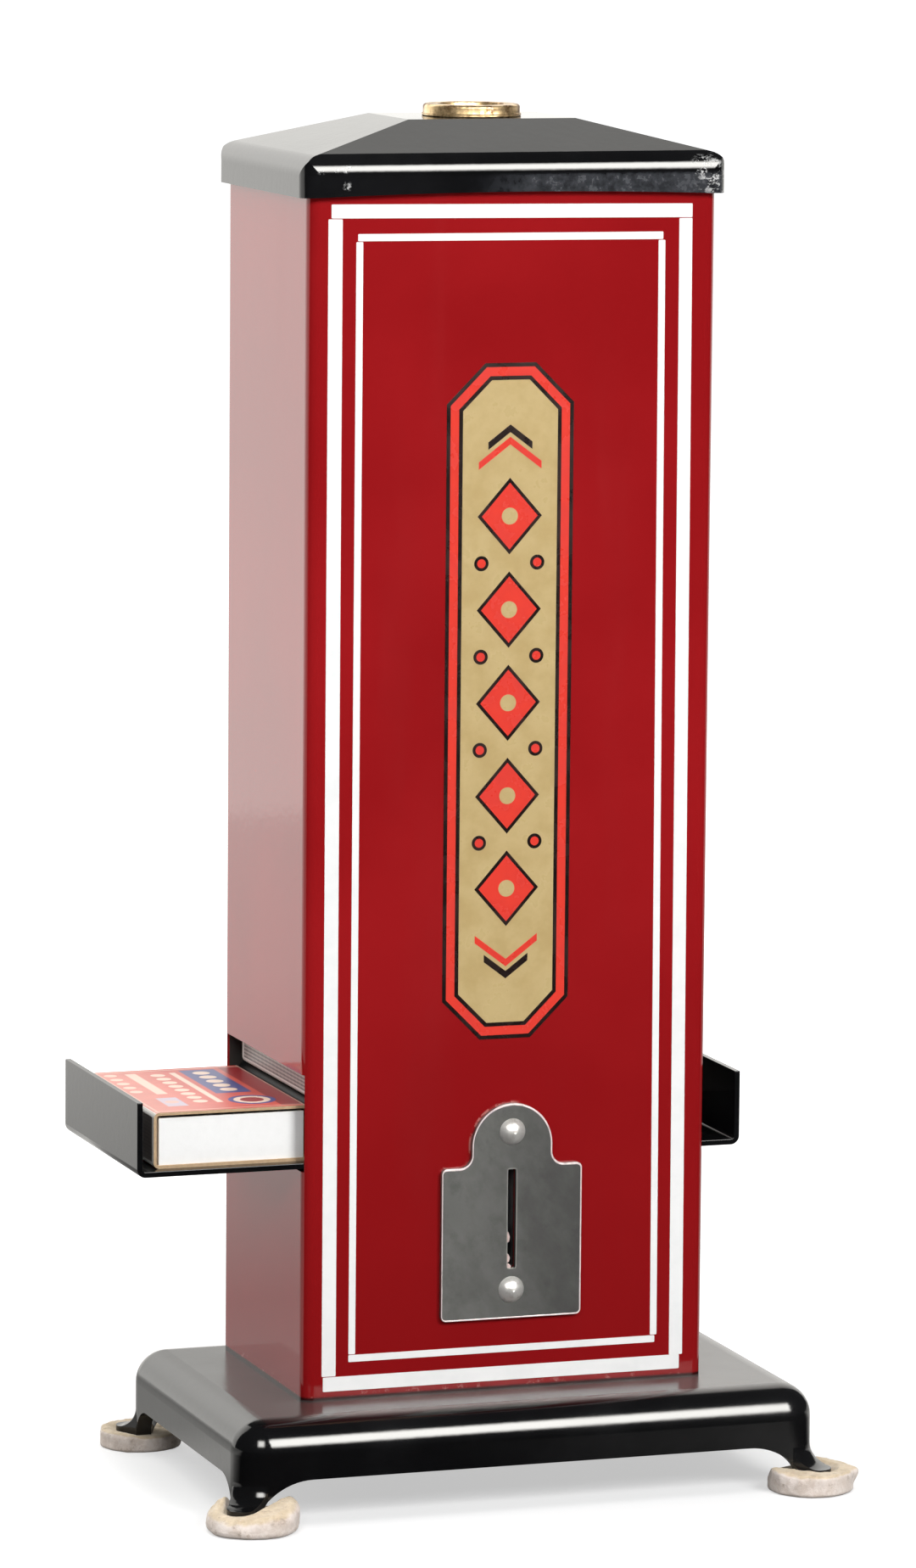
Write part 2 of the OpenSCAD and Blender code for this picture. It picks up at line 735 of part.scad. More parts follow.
module plate_outline() {
    head_z = plate_high_z - head_r;
    translate([plate_x, 0]) {
        translate([0, (plate_low_z + shoulder_z) / 2])
            rounded_rect(plate_w, shoulder_z - plate_low_z, plate_corner_r);
        translate([-head_r, shoulder_z - cut]) square([2 * head_r, head_z - shoulder_z + cut]);
        translate([0, head_z]) circle(head_r);
        for (s = [-1, 1]) difference() {
            translate([s * (head_r + plate_fillet_r / 2), shoulder_z + plate_fillet_r / 2 - cut / 2])
                square([plate_fillet_r, plate_fillet_r + cut], center = true);
            translate([s * (head_r + plate_fillet_r), shoulder_z + plate_fillet_r])
                circle(plate_fillet_r);
        }
    }
}

module coin_plate() {
    color(steel) difference() {
        along_y(plate_t, front_y - plate_t / 2) difference() {
            plate_outline();
            coin_slot(0);
        }
        at_plate_rivets() cylinder(d = rivet_d + 2 * hole_gap, h = 4 * plate_t, center = true);
    }
}

module coin_plate_rivets() {
    tail_d = 4.4;
    tail_h = 1;
    color(zinc) at_plate_rivets() {
        translate([0, 0, -plate_t])
            rivet(rivet_d, plate_t + sheet_t, plate_rivet_head_d, plate_rivet_head_h);
        translate([0, 0, sheet_t]) dome(tail_d, tail_h);
    }
}

module coin_chute() {
    y0 = inner_front_y;
    tab_w = 5;
    color(zinc) difference() {
        union() {
            for (s = [-1, 1]) {
                along_x(chute_t, plate_x + s * (coin_gap + chute_t) / 2) polygon([
                    [y0, slot_low_z - chute_t], [y0 + chute_run, chute_low_z],
                    [y0 + chute_l, chute_low_z], [y0 + chute_l, stop_low_z], [y0, stop_low_z]
                ]);
                along_x(tab_w, plate_x + s * (chute_w + tab_w) / 2)
                    translate([y0 + rail_w, stop_low_z - chute_t]) square([chute_l - rail_w, chute_t]);
            }
            along_x(chute_w, plate_x) polygon([
                [y0, slot_low_z], [y0, slot_low_z - chute_t],
                [y0 + chute_run, chute_low_z], [y0 + chute_run, chute_low_z + chute_t]
            ]);
        }
        translate([plate_x, pivot_y, pivot_z]) rotate([0, 90, 0])
            cylinder(d = latch_pin_d + 2 * hole_gap, h = 2 * chute_w, center = true);
    }
}

// latch seen from the side: a nose that rises through the stop plate, a tail and a coin arm
module latch_outline() {
    circle(hub_r);
    translate([-nose_reach, -nose_w / 2]) square([nose_reach + tail_l, nose_w]);
    translate([-nose_reach - nose_w / 2, -nose_w / 2]) square([nose_w, nose_h + nose_w / 2]);
    rotate(latch_swing) translate([-nose_w / 2, -coin_arm_l]) square([nose_w, coin_arm_l]);
    rotate(latch_swing) translate([0, -coin_arm_l]) circle(d = nose_w);
}

module latch_lever() {
    color(brass) translate([0, pivot_y, pivot_z]) along_x(latch_t, plate_x) difference() {
        latch_outline();
        circle(d = latch_pin_d + 2 * latch_pin_gap);
    }
}

module latch_pin() {
    pin_head_h = 1;
    color(zinc) translate([plate_x, pivot_y, pivot_z]) rotate([0, 90, 0]) {
        cylinder(d = latch_pin_d, h = chute_w + 2 * pin_head_h, center = true);
        for (s = [-1, 1])
            translate([0, 0, s * (chute_w + pin_head_h) / 2])
                cylinder(d = 2 * hub_r, h = pin_head_h, center = true);
    }
}

module latch_spring() {
    side_gap = 0.2;
    seat_l = 4;
    tip_y = tail_l - 2;
    tip_z = nose_w / 2 + 0.3;
    bend_y = tail_l + 3;
    slope = atan2(pivot_drop - tip_z, bend_y - tip_y);
    slant_h = spring_t / cos(slope);
    color(steel) translate([0, pivot_y, pivot_z]) along_x(coin_gap - 2 * side_gap, plate_x) polygon([
        [bend_y + seat_l, pivot_drop], [bend_y + seat_l, pivot_drop - spring_t],
        [bend_y + spring_t / 2, pivot_drop - spring_t], [tip_y, tip_z],
        [tip_y, tip_z + slant_h], [bend_y, pivot_drop]
    ]);
}

// Rails and stop

module stop_plate() {
    edge_y = rail_t + tray_side_gap;
    color(zinc) translate([0, 0, stop_low_z]) linear_extrude(stop_t) difference() {
        translate([-stop_half_w, inner_front_y + edge_y])
            square([2 * stop_half_w, cab_in_d - 2 * edge_y]);
        translate([0, cab_y + stop_pin_y])
            stadium(travel + stop_pin_d + 2 * stop_gap, stop_pin_d + 2 * stop_gap);
        translate([plate_x - latch_t / 2 - nose_room, pivot_y - nose_reach - nose_w / 2 - nose_room])
            square([latch_t + 2 * nose_room, nose_reach + nose_up_y + nose_w + 2 * nose_room]);
        at_rail_rivets() circle(d = rivet_d + 2 * hole_gap);
    }
}

module rail() {
    rail_l = cab_in_w - 2 * cab_corner_r;
    along_x(rail_l, 0) translate([inner_front_y, rail_z - rail_h]) {
        square([rail_t, rail_h]);
        translate([0, rail_h - rail_t]) square([rail_w, rail_t]);
    }
}

module front_rail() {
    color(zinc) difference() {
        rail();
        translate([plate_x - chute_w / 2 - stop_gap, inner_front_y - cut, rail_z - rail_h - cut])
            cube([chute_w + 2 * stop_gap, rail_t + 2 * cut, rail_h - rail_t + cut]);
        at_rail_rivets() cylinder(d = rivet_d + 2 * hole_gap, h = rail_z + cut);
    }
}

module rear_rail() {
    color(zinc) difference() {
        translate([0, 2 * cab_y, 0]) mirror([0, 1, 0]) rail();
        at_rail_rivets() cylinder(d = rivet_d + 2 * hole_gap, h = rail_z + cut);
    }
}

module rail_rivets() {
    color(zinc) at_rail_rivets() translate([0, 0, stop_low_z])
        rivet(rivet_d, stop_t + rail_t, rivet_head_d, rivet_head_h);
}

// Slide

// where the latch's nose meets the slide, measured from the slide's middle
function nose_on_slide(pos) = plate_x - pos;

// cuts that let the nose rise near each end of the stroke
module latch_notches() {
    from_x = nose_on_slide(slide_pos) - latch_t / 2 - nose_room;
    to_x = nose_on_slide(-stroke) + latch_t / 2 + nose_room;
    notch_d = nose_reach + nose_up_y + nose_w + 2 * nose_room;
    for (s = [-1, 1])
        translate([slide_pos + s * (from_x + to_x) / 2, pivot_y + (nose_up_y - nose_reach) / 2, floor_z])
            cube([to_x - from_x, notch_d, 4 * tray_t], center = true);
}

module slide_tray() {
    color(black) difference() {
        translate([slide_pos, 0, tray_bottom]) along_y(tray_d, cab_y)
            channel(tray_l, end_h, tray_t, bend_r);
        latch_notches();
        at_bridge_rivets() cylinder(d = rivet_d + 2 * hole_gap, h = floor_z + cut);
        translate([slide_pos, cab_y + stop_pin_y, 0])
            cylinder(d = stop_pin_d + 2 * hole_gap, h = floor_z + cut);
    }
}

module slide_bridge() {
    color(black) difference() {
        translate([slide_pos, 0, floor_z]) along_y(tray_d, cab_y) {
            translate([0, bridge_h]) mirror([0, 1]) channel(bridge_w, bridge_h, tray_t, bend_r);
            for (s = [-1, 1])
                translate([s * (bridge_w - bridge_foot_w - tray_t) / 2, tray_t / 2])
                    square([bridge_foot_w + tray_t, tray_t], center = true);
        }
        latch_notches();
        at_bridge_rivets() cylinder(d = rivet_d + 2 * hole_gap, h = floor_z + tray_t + cut);
    }
}

module bridge_rivets() {
    color(zinc) at_bridge_rivets() translate([0, 0, tray_bottom]) {
        rivet(rivet_d, 2 * tray_t, rivet_head_d, bridge_head_h);
        translate([0, 0, 2 * tray_t]) dome(rivet_head_d, rivet_head_h);
    }
}

module slide_stop_pin() {
    pin_head_d = stop_pin_d + 4;
    pin_head_h = 1.5;
    pin_reach = 1; // how far the pin stands out below the stop plate
    color(zinc) translate([slide_pos, cab_y + stop_pin_y, stop_low_z - pin_reach]) {
        cylinder(d = stop_pin_d, h = floor_z - stop_low_z + pin_reach);
        translate([0, 0, floor_z - stop_low_z + pin_reach]) cylinder(d = pin_head_d, h = pin_head_h);
    }
}

// Magazines and cash box

module magazine(s) {
    outer_x = cab_in_w / 2;
    inner_x = mag_in_x - mag_t;
    color(zinc) translate([s * (outer_x + inner_x) / 2, cab_y, mag_z])
        linear_extrude(mag_top_z - mag_z) difference() {
            square([outer_x - inner_x, mag_d], center = true);
            square([outer_x - inner_x - 2 * mag_t, mag_d - 2 * mag_t], center = true);
        }
}

module cash_box() {
    color(zinc) translate([0, cab_y, base_z]) difference() {
        linear_extrude(cash_h) rounded_rect(cash_w, cash_d, bend_r);
        translate([0, 0, cash_t]) linear_extrude(cash_h)
            rounded_rect(cash_w - 2 * cash_t, cash_d - 2 * cash_t, bend_r - cash_t);
    }
}

// Matchboxes, drawn on the plane z = 0

module sleeve() {
    along_y(box_l, 0) translate([0, box_h / 2]) difference() {
        rounded_rect(box_w, box_h, card_t + drawer_gap);
        rounded_rect(box_w - 2 * card_t, box_h - 2 * card_t, drawer_gap);
    }
}

module drawer() {
    end_inset = 0.6;
    w = box_w - 2 * (card_t + drawer_gap);
    l = box_l - 2 * end_inset;
    h = box_h - 2 * card_t - drawer_gap;
    translate([0, 0, card_t]) difference() {
        translate([-w / 2, -l / 2, 0]) cube([w, l, h]);
        translate([-w / 2 + card_t, -l / 2 + card_t, card_t]) cube([w - 2 * card_t, l - 2 * card_t, h]);
    }
}

module in_left_pocket() {
    translate([slide_pos - pocket_x + box_play - box_rest, cab_y, floor_z]) children();
}

module in_left_stack() {
    for (i = [0 : stack_count - 1])
        translate([-column_x, cab_y, stack_z + i * (box_h + stack_air)]) children();
}

module matchbox_sleeve() {
    color(label_red) in_left_pocket() sleeve();
}

module matchbox_drawer() {
    color(card) in_left_pocket() drawer();
}

module stack_sleeves() {
    color(label_red) in_left_stack() sleeve();
}

module stack_drawers() {
    color(card) in_left_stack() drawer();
}

base_casting();
felt_pad(-1, -1);  // felt_pad_front_left
felt_pad(1, -1);  // felt_pad_front_right
felt_pad(-1, 1);  // felt_pad_rear_left
felt_pad(1, 1);  // felt_pad_rear_right
cabinet_shell();
base_screws();
base_nuts();
lid();
lock_housing();
lock_nut();
lock_plug();
lock_cam();
cam_screw();
lock_bar();
coin_plate();
coin_plate_rivets();
coin_chute();
latch_lever();
latch_pin();
latch_spring();
stop_plate();
front_rail();
rear_rail();
rail_rivets();
slide_tray();
slide_bridge();
bridge_rivets();
slide_stop_pin();
magazine(-1);  // left_magazine
magazine(1);  // right_magazine
cash_box();
matchbox_sleeve();
matchbox_drawer();
stack_sleeves();
stack_drawers();
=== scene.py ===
import math

import bmesh
import bpy
from mathutils import Matrix, Vector, noise

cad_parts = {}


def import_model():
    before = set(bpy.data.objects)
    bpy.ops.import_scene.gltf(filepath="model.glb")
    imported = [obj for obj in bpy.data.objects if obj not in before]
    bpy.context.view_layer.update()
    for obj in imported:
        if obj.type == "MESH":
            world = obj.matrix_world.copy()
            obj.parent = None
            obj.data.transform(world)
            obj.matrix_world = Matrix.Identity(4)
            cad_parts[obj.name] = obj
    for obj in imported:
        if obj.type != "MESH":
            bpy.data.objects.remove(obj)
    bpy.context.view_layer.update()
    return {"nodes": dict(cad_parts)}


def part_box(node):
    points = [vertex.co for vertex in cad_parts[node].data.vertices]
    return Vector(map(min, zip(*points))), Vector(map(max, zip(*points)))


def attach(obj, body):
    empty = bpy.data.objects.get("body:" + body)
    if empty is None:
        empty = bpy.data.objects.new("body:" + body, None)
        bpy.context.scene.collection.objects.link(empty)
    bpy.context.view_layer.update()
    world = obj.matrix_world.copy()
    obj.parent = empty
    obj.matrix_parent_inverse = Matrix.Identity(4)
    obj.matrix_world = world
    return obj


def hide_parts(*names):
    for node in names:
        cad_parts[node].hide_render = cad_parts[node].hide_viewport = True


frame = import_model()

MM = 0.001
nodes = frame["nodes"]

# Places that the looks follow, in metres, all read from the frame
cab_low, cab_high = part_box("cabinet_shell")
lid_low, lid_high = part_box("lid")
base_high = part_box("base_casting")[1]
plate_low, plate_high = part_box("coin_plate")
box_low, box_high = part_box("matchbox_sleeve")
stack_low, stack_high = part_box("stack_sleeves")
FRONT_Y = cab_low.y
CAB_MID = (cab_low + cab_high) / 2
PLATE_MID = (plate_low + plate_high) / 2


def paint(red, green, blue):
    """A colour written as 0 to 255 screen values, as the linear RGBA that a socket takes."""
    values = [c / 255 for c in (red, green, blue)]
    return [c / 12.92 if c <= 0.04045 else ((c + 0.055) / 1.055) ** 2.4 for c in values] + [1.0]


def grey(value):
    """The same linear value on all three channels."""
    return [value] * 3 + [1.0]


class Graph:
    """Short calls for the nodes of a material or a world."""

    def __init__(self, tree):
        self.nodes, self.links = tree.nodes, tree.links

    def feed(self, socket, value):
        if isinstance(value, bpy.types.NodeSocket):
            self.links.new(value, socket)
        else:
            socket.default_value = value

    def node(self, kind, inputs=None, **settings):
        made = self.nodes.new("ShaderNode" + kind)
        for name, value in settings.items():
            setattr(made, name, value)
        for key, value in (inputs or {}).items():
            self.feed(made.inputs[key], value)
        return made

    def math(self, operation, a, b=0.0):
        return self.node("Math", {0: a, 1: b}, operation=operation).outputs[0]

    def scaled(self, value, zero, unit):
        """How far value lies from zero, counted in units."""
        return self.math("DIVIDE", self.math("SUBTRACT", value, zero), unit)

    def both(self, a, b):
        return self.math("MULTIPLY", a, b)

    def either(self, a, b):
        return self.math("MAXIMUM", a, b)

    def step(self, value, low, high, to_low=0.0, to_high=1.0):
        """Smooth step from to_low at low to to_high at high."""
        inputs = {"Value": value, "From Min": low, "From Max": high, "To Min": to_low, "To Max": to_high}
        return self.node("MapRange", inputs, interpolation_type="SMOOTHSTEP").outputs["Result"]

    def within(self, value, low, high, soft):
        """1 where value lies between low and high, with edges that fade over soft on either side."""
        rise = self.step(value, low - soft, low + soft)
        fall = self.step(value, high + soft, high - soft)
        return self.both(rise, fall)

    def mix(self, factor, a, b):
        made = self.node("Mix", data_type="RGBA")
        for socket, value in zip((made.inputs[0], made.inputs[6], made.inputs[7]), (factor, a, b)):
            self.feed(socket, value)
        return made.outputs[2]

    def ramp(self, value, stops):
        """Straight lines through (place, strength) stops."""
        low, high = stops[0][0], stops[-1][0]
        peak = max(strength for place, strength in stops)
        band = self.node("ValToRGB", {"Fac": self.scaled(value, low, high - low)})
        elements = band.color_ramp.elements
        while len(elements) < len(stops):
            elements.new(1.0)
        for element, (place, strength) in zip(elements, stops):
            element.position = (place - low) / (high - low)
            element.color = grey(strength / peak)
        return self.both(band.outputs["Color"], peak)


class Shader(Graph):
    """A material with one Principled BSDF that the nodes feed."""

    def __init__(self, name, **values):
        self.material = bpy.data.materials.new(name)
        self.material.use_nodes = True
        super().__init__(self.material.node_tree)
        self.bsdf = self.nodes["Principled BSDF"]
        coordinates = self.node("TexCoord").outputs
        self.place, self.normal = coordinates["Object"], coordinates["Normal"]
        self.x, self.y, self.z = self.node("SeparateXYZ", {"Vector": self.place}).outputs
        self.give(**values)

    def give(self, **values):
        """Sets or links sockets of the BSDF; base_color stands for Base Color and so on."""
        for name, value in values.items():
            words = [w.upper() if w == "ior" else w.capitalize() for w in name.split("_")]
            self.feed(self.bsdf.inputs[" ".join(words)], value)

    def looks(self, axis):
        """How much a face looks along an axis."""
        return self.node("SeparateXYZ", {"Vector": self.normal}).outputs[axis]

    def facing(self, axis):
        """How much a face looks along an axis, either way."""
        return self.math("ABSOLUTE", self.looks(axis))

    def stretched(self, x, y, z, turn=(0.0, 0.0, 0.0)):
        """The piece's own coordinates, turned and then scaled by axis."""
        turned = self.node("Mapping", {"Vector": self.place, "Rotation": turn}).outputs["Vector"]
        return self.node("Mapping", {"Vector": turned, "Scale": (x, y, z)}).outputs["Vector"]

    def noise(self, scale, detail=2.0, rough=0.5, at=None):
        inputs = {"Vector": at or self.place, "Scale": scale, "Detail": detail, "Roughness": rough}
        return self.node("TexNoise", inputs).outputs["Fac"]

    def specks(self, scale, size, share):
        """Small round spots: one in some cells of the given scale, of the given size in metres."""
        cells = self.node("TexVoronoi", {"Vector": self.place, "Scale": scale})
        spot = self.step(cells.outputs["Distance"], size * scale, size * scale * 0.6)
        chosen = self.node("SeparateColor", {"Color": cells.outputs["Color"]}).outputs[0]
        return self.both(spot, self.step(chosen, 1 - share, 1 - share + 0.01))

    def away(self, point):
        """Distance from a point of the piece."""
        return self.node("VectorMath", {0: self.place, 1: point}, operation="DISTANCE").outputs["Value"]

    def near(self, point, radius):
        """1 at a point of the piece, falling to 0 at the radius."""
        return self.step(self.away(point), radius, radius * 0.3)

    def bump(self, height, distance, strength=1.0):
        """Adds relief over any that is there already."""
        inputs = {"Height": height, "Distance": distance, "Strength": strength}
        if self.bsdf.inputs["Normal"].is_linked:
            inputs["Normal"] = self.bsdf.inputs["Normal"].links[0].from_socket
        self.give(normal=self.node("Bump", inputs).outputs["Normal"])


# Materials

RED = paint(161, 26, 30)
RED_DEEP = paint(150, 21, 25)
# painted shade for the lower front
RED_LOW_SHADE = paint(139, 19, 22)
RED_UNDER = paint(206, 140, 132)
# painted contact shadow at the tube's foot
RED_FOOT_SHADOW = paint(52, 10, 11)
BLACK = paint(14, 14, 15)
BLACK_GREY = paint(21, 21, 22)
SCUFF = paint(215, 215, 214)
HAZE = paint(53, 55, 60)
# painted shade for the cabinet's inside
INSIDE_SHADE = paint(26, 22, 21)
# radius of the coin plate's round head
PLATE_HEAD_R = 9.5 * MM


def orange_peel(shader):
    """The fine ripple of sprayed enamel."""
    shader.bump(shader.noise(520, 1.0), 0.012 * MM)


def red_enamel():
    """Glossy paint of the cabinet, chipped at its foot, with painted shade on the lower front, along the
    foot and on the dull inside.
    """
    s = Shader("red_enamel", specular_ior_level=0.5, ior=1.5)
    tone = s.noise(16, 3.0)
    colour = s.mix(s.step(tone, 0.35, 0.65), RED_DEEP, RED)
    # painted shade: the front darkens towards the foot
    front = s.step(s.y, FRONT_Y + 4 * MM, FRONT_Y + 1 * MM)
    lower = s.step(s.z, 160 * MM, 30 * MM, 0.0, 0.75)
    colour = s.mix(s.both(front, lower), colour, RED_LOW_SHADE)
    # chips of the undercoat along the tube's lower edge and left of the coin plate's head
    low_edge = s.step(s.z, cab_low.z + 2.2 * MM, cab_low.z + 0.2 * MM)
    grit = s.noise(420, 4.0, 0.7)
    chips = s.both(low_edge, s.step(grit, 0.56, 0.66))
    head = (PLATE_MID.x, FRONT_Y, plate_high.z - PLATE_HEAD_R)
    beside = s.within(s.away(head), PLATE_HEAD_R - 0.1 * MM, PLATE_HEAD_R + 0.5 * MM, 0.2 * MM)
    beside = s.both(beside, s.step(s.x, head[0] + 3 * MM, head[0] - 1 * MM))
    chips = s.either(chips, s.both(beside, s.step(grit, 0.44, 0.52)))
    dust = s.specks(75, 0.22 * MM, 0.3)
    colour = s.mix(s.both(s.either(chips, dust), 0.55), colour, RED_UNDER)
    # painted contact shadow: a dark band along the tube's lower edge, where it sits on the base
    colour = s.mix(s.step(s.z, cab_low.z + 0.9 * MM, cab_low.z + 0.3 * MM), colour, RED_FOOT_SHADOW)
    # the tube's inside is painted near black, as painted shade for the closed-in inside
    across = s.math("ABSOLUTE", s.scaled(s.x, CAB_MID.x, cab_high.x - CAB_MID.x))
    along = s.math("ABSOLUTE", s.scaled(s.y, CAB_MID.y, cab_high.y - CAB_MID.y))
    outside = s.step(s.either(across, along), 0.978, 0.981)
    colour = s.mix(outside, INSIDE_SHADE, colour)
    smear = s.noise(1.0, 3.0, 0.6, at=s.stretched(70, 70, 9))
    sheen = s.step(smear, 0.5, 0.75, 0.07, 0.15)
    s.give(base_color=colour, roughness=s.mix(outside, grey(0.7), sheen))
    orange_peel(s)
    return s.material


def black_enamel(name, scuffs=(), waves=0.0, specks=0.25, worn=None, polish=0.06, level=0.5):
    """Stoved black paint; worn gives a dull film's share at each place, its tint and its roughness."""
    s = Shader(name, specular_ior_level=level, ior=1.5)
    grime = s.noise(45, 4.0, 0.6)
    colour = s.mix(s.step(grime, 0.4, 0.7), BLACK, BLACK_GREY)
    rubbed = s.step(s.noise(24, 3.0, 0.55), 0.45, 0.75, polish, polish + 0.07)
    if worn:
        film, tint, gloss = worn(s)
        colour = s.mix(film, colour, tint)
        rubbed = s.mix(film, rubbed, grey(gloss))
    marks = s.specks(110, 0.2 * MM, specks)
    torn = s.noise(520, 6.0, 0.8, at=s.stretched(0.7, 1, 1))
    for point, radius in scuffs:
        marks = s.either(marks, s.both(s.near(point, radius), s.step(torn, 0.53, 0.58)))
    colour = s.mix(s.both(marks, 0.8), colour, SCUFF)
    s.give(base_color=colour, roughness=s.mix(marks, rubbed, grey(0.5)))
    if waves:
        s.bump(s.noise(55, 2.0), waves)
    orange_peel(s)
    return s.material


def lid_haze(s):
    """Blue-grey bloom on the front of the lid's rim, stronger towards the right."""
    front = s.step(s.y, lid_low.y + 1.5 * MM, lid_low.y + 0.5 * MM)
    below = s.step(s.z, lid_low.z + 5.4 * MM, lid_low.z + 4.2 * MM)
    across = s.step(s.x, -14 * MM, 8 * MM, 0.05, 1.0)
    cloud = s.step(s.noise(420, 5.0, 0.7), 0.3, 0.65, 0.3, 1.0)
    film = s.both(s.both(front, below), s.both(across, cloud))
    return film, HAZE, 0.3


def base_dust_and_sheen(s):
    """Dull upper face of the base, which blurs what it mirrors; its dust is paler in front and on the right,
    where the paler tint is also a painted reflection of the blurred light that the ledge shows.
    """
    level = s.step(s.z, base_high.z - 0.9 * MM, base_high.z - 0.2 * MM)
    cloud = s.step(s.noise(60, 4.0, 0.6), 0.3, 0.7, 0.65, 1.0)
    # dust and painted reflection: the front and the right of the face get a paler tint
    ahead = s.both(s.step(s.y, FRONT_Y + 2 * MM, FRONT_Y - 1 * MM), s.step(s.x, -64 * MM, -34 * MM))
    thick = s.either(ahead, s.step(s.x, cab_high.x - 1 * MM, cab_high.x + 2 * MM))
    return s.both(level, cloud), s.mix(thick, paint(34, 32, 31), paint(88, 85, 83)), 0.24


def plate_steel():
    """Stained sheet, darker towards the right."""
    s = Shader("plate_steel", metallic=0.9)
    stain = s.noise(60, 5.0, 0.6, at=s.stretched(1.0, 1.0, 0.6, (0.0, 0.6, 0.0)))
    fine = s.noise(300, 4.0, 0.65)
    across = s.step(s.x, plate_low.x, plate_high.x, 0.12, -0.14)
    shade = s.step(s.math("ADD", stain, across), 0.28, 0.72)
    colour = s.mix(shade, paint(102, 102, 101), paint(146, 146, 144))
    colour = s.mix(s.both(s.step(fine, 0.45, 0.8), 0.35), colour, paint(84, 84, 83))
    s.give(base_color=colour, roughness=s.step(stain, 0.3, 0.75, 0.46, 0.36))
    s.bump(fine, 0.01 * MM)
    return s.material


def painted_edge_highlight(name, bright, dull):
    """Rounded edge of the coin plate, coloured bright as a painted highlight, with painted shade where it
    looks left and some wear.
    """
    s = Shader(name, metallic=0.1, specular_ior_level=0.5)
    # painted shade: the edge is duller where it looks left; the rest of the dull share is wear
    looks_left = s.step(s.looks(0), -0.1, -0.6)
    wear = s.noise(340, 4.0, 0.65)
    worn = s.either(looks_left, s.step(wear, 0.5, 0.7, 0.0, 0.6))
    s.give(base_color=s.mix(worn, bright, dull), roughness=s.step(wear, 0.3, 0.7, 0.32, 0.48))
    return s.material


def spring_steel():
    """Blued leaf spring, browner in patches."""
    s = Shader("spring_steel", metallic=1.0)
    heat = s.noise(260, 3.0)
    s.give(base_color=s.mix(heat, paint(120, 122, 130), paint(150, 145, 132)))
    s.give(roughness=s.step(heat, 0.3, 0.7, 0.22, 0.34))
    return s.material


def nickel():
    """Plated rivet heads, worn and slightly dented."""
    s = Shader("nickel", metallic=0.65)
    wear = s.noise(420, 4.0, 0.65)
    s.give(base_color=s.mix(s.step(wear, 0.4, 0.75), paint(234, 232, 228), paint(186, 182, 176)))
    s.give(roughness=s.step(wear, 0.35, 0.75, 0.32, 0.44))
    s.bump(s.noise(420, 2.0), 0.04 * MM)
    return s.material


def brass(name, tarnished, patches, recess_shade_top=None):
    """Tarnished brass; below a given height it is painted near black, as painted shade in the keyhole's
    recess.
    """
    s = Shader(name, metallic=0.8)
    tarnish = s.noise(300, 4.0, 0.65)
    colour = s.mix(s.step(tarnish, 0.42, 0.66), paint(226, 196, 148), tarnished)
    colour = s.mix(s.step(s.noise(210, 5.0, 0.7), 0.58, 0.7, 0.0, patches), colour, paint(250, 242, 224))
    if recess_shade_top:
        # painted shade in the recess, below the plug's top
        colour = s.mix(s.step(s.z, recess_shade_top - 0.2 * MM, recess_shade_top - 0.5 * MM), colour, paint(28, 20, 13))
    s.give(base_color=colour, roughness=s.step(tarnish, 0.4, 0.75, 0.32, 0.46))
    s.bump(tarnish, 0.04 * MM)
    return s.material


def zinc_plate():
    """Spangled plating of the works inside."""
    s = Shader("zinc_plate", metallic=1.0)
    spangle = s.node("TexVoronoi", {"Vector": s.place, "Scale": 190.0}).outputs["Color"]
    flake = s.node("SeparateColor", {"Color": spangle}).outputs[1]
    haze = s.noise(60, 4.0, 0.6)
    colour = s.mix(flake, paint(170, 173, 178), paint(188, 189, 190))
    colour = s.mix(s.both(s.step(haze, 0.5, 0.8), 0.5), colour, paint(176, 170, 150))
    s.give(base_color=colour, roughness=s.step(flake, 0.0, 1.0, 0.3, 0.44))
    return s.material


def felt():
    """Pale wool, yellower on top, with painted shade at the foot."""
    s = Shader("felt", roughness=1.0, specular_ior_level=0.15, sheen_weight=0.3, sheen_roughness=0.6)
    wool = s.noise(230, 6.0, 0.75)
    fibre = s.noise(1.0, 4.0, 0.8, at=s.stretched(1500, 900, 2100))
    level = s.step(s.looks(2), 0.45, 0.8)
    light = s.mix(level, paint(244, 232, 223), paint(230, 212, 184))
    shade = s.mix(level, paint(220, 204, 191), paint(206, 185, 153))
    colour = s.mix(s.step(wool, 0.35, 0.65), shade, light)
    dark = s.both(s.step(s.noise(380, 5.0, 0.7), 0.56, 0.68), 0.5)
    colour = s.mix(dark, colour, paint(160, 138, 118))
    # painted shade along the foot, where the pad meets the floor
    foot_shade = s.step(s.z, 0.9 * MM, 0.1 * MM, 0.0, 0.45)
    colour = s.mix(foot_shade, colour, paint(150, 134, 120))
    s.give(base_color=s.mix(s.both(s.step(fibre, 0.55, 0.75), 0.5), colour, paint(246, 239, 230)))
    s.bump(fibre, 0.2 * MM, 0.6)
    s.bump(wool, 0.35 * MM, 0.5)
    return s.material


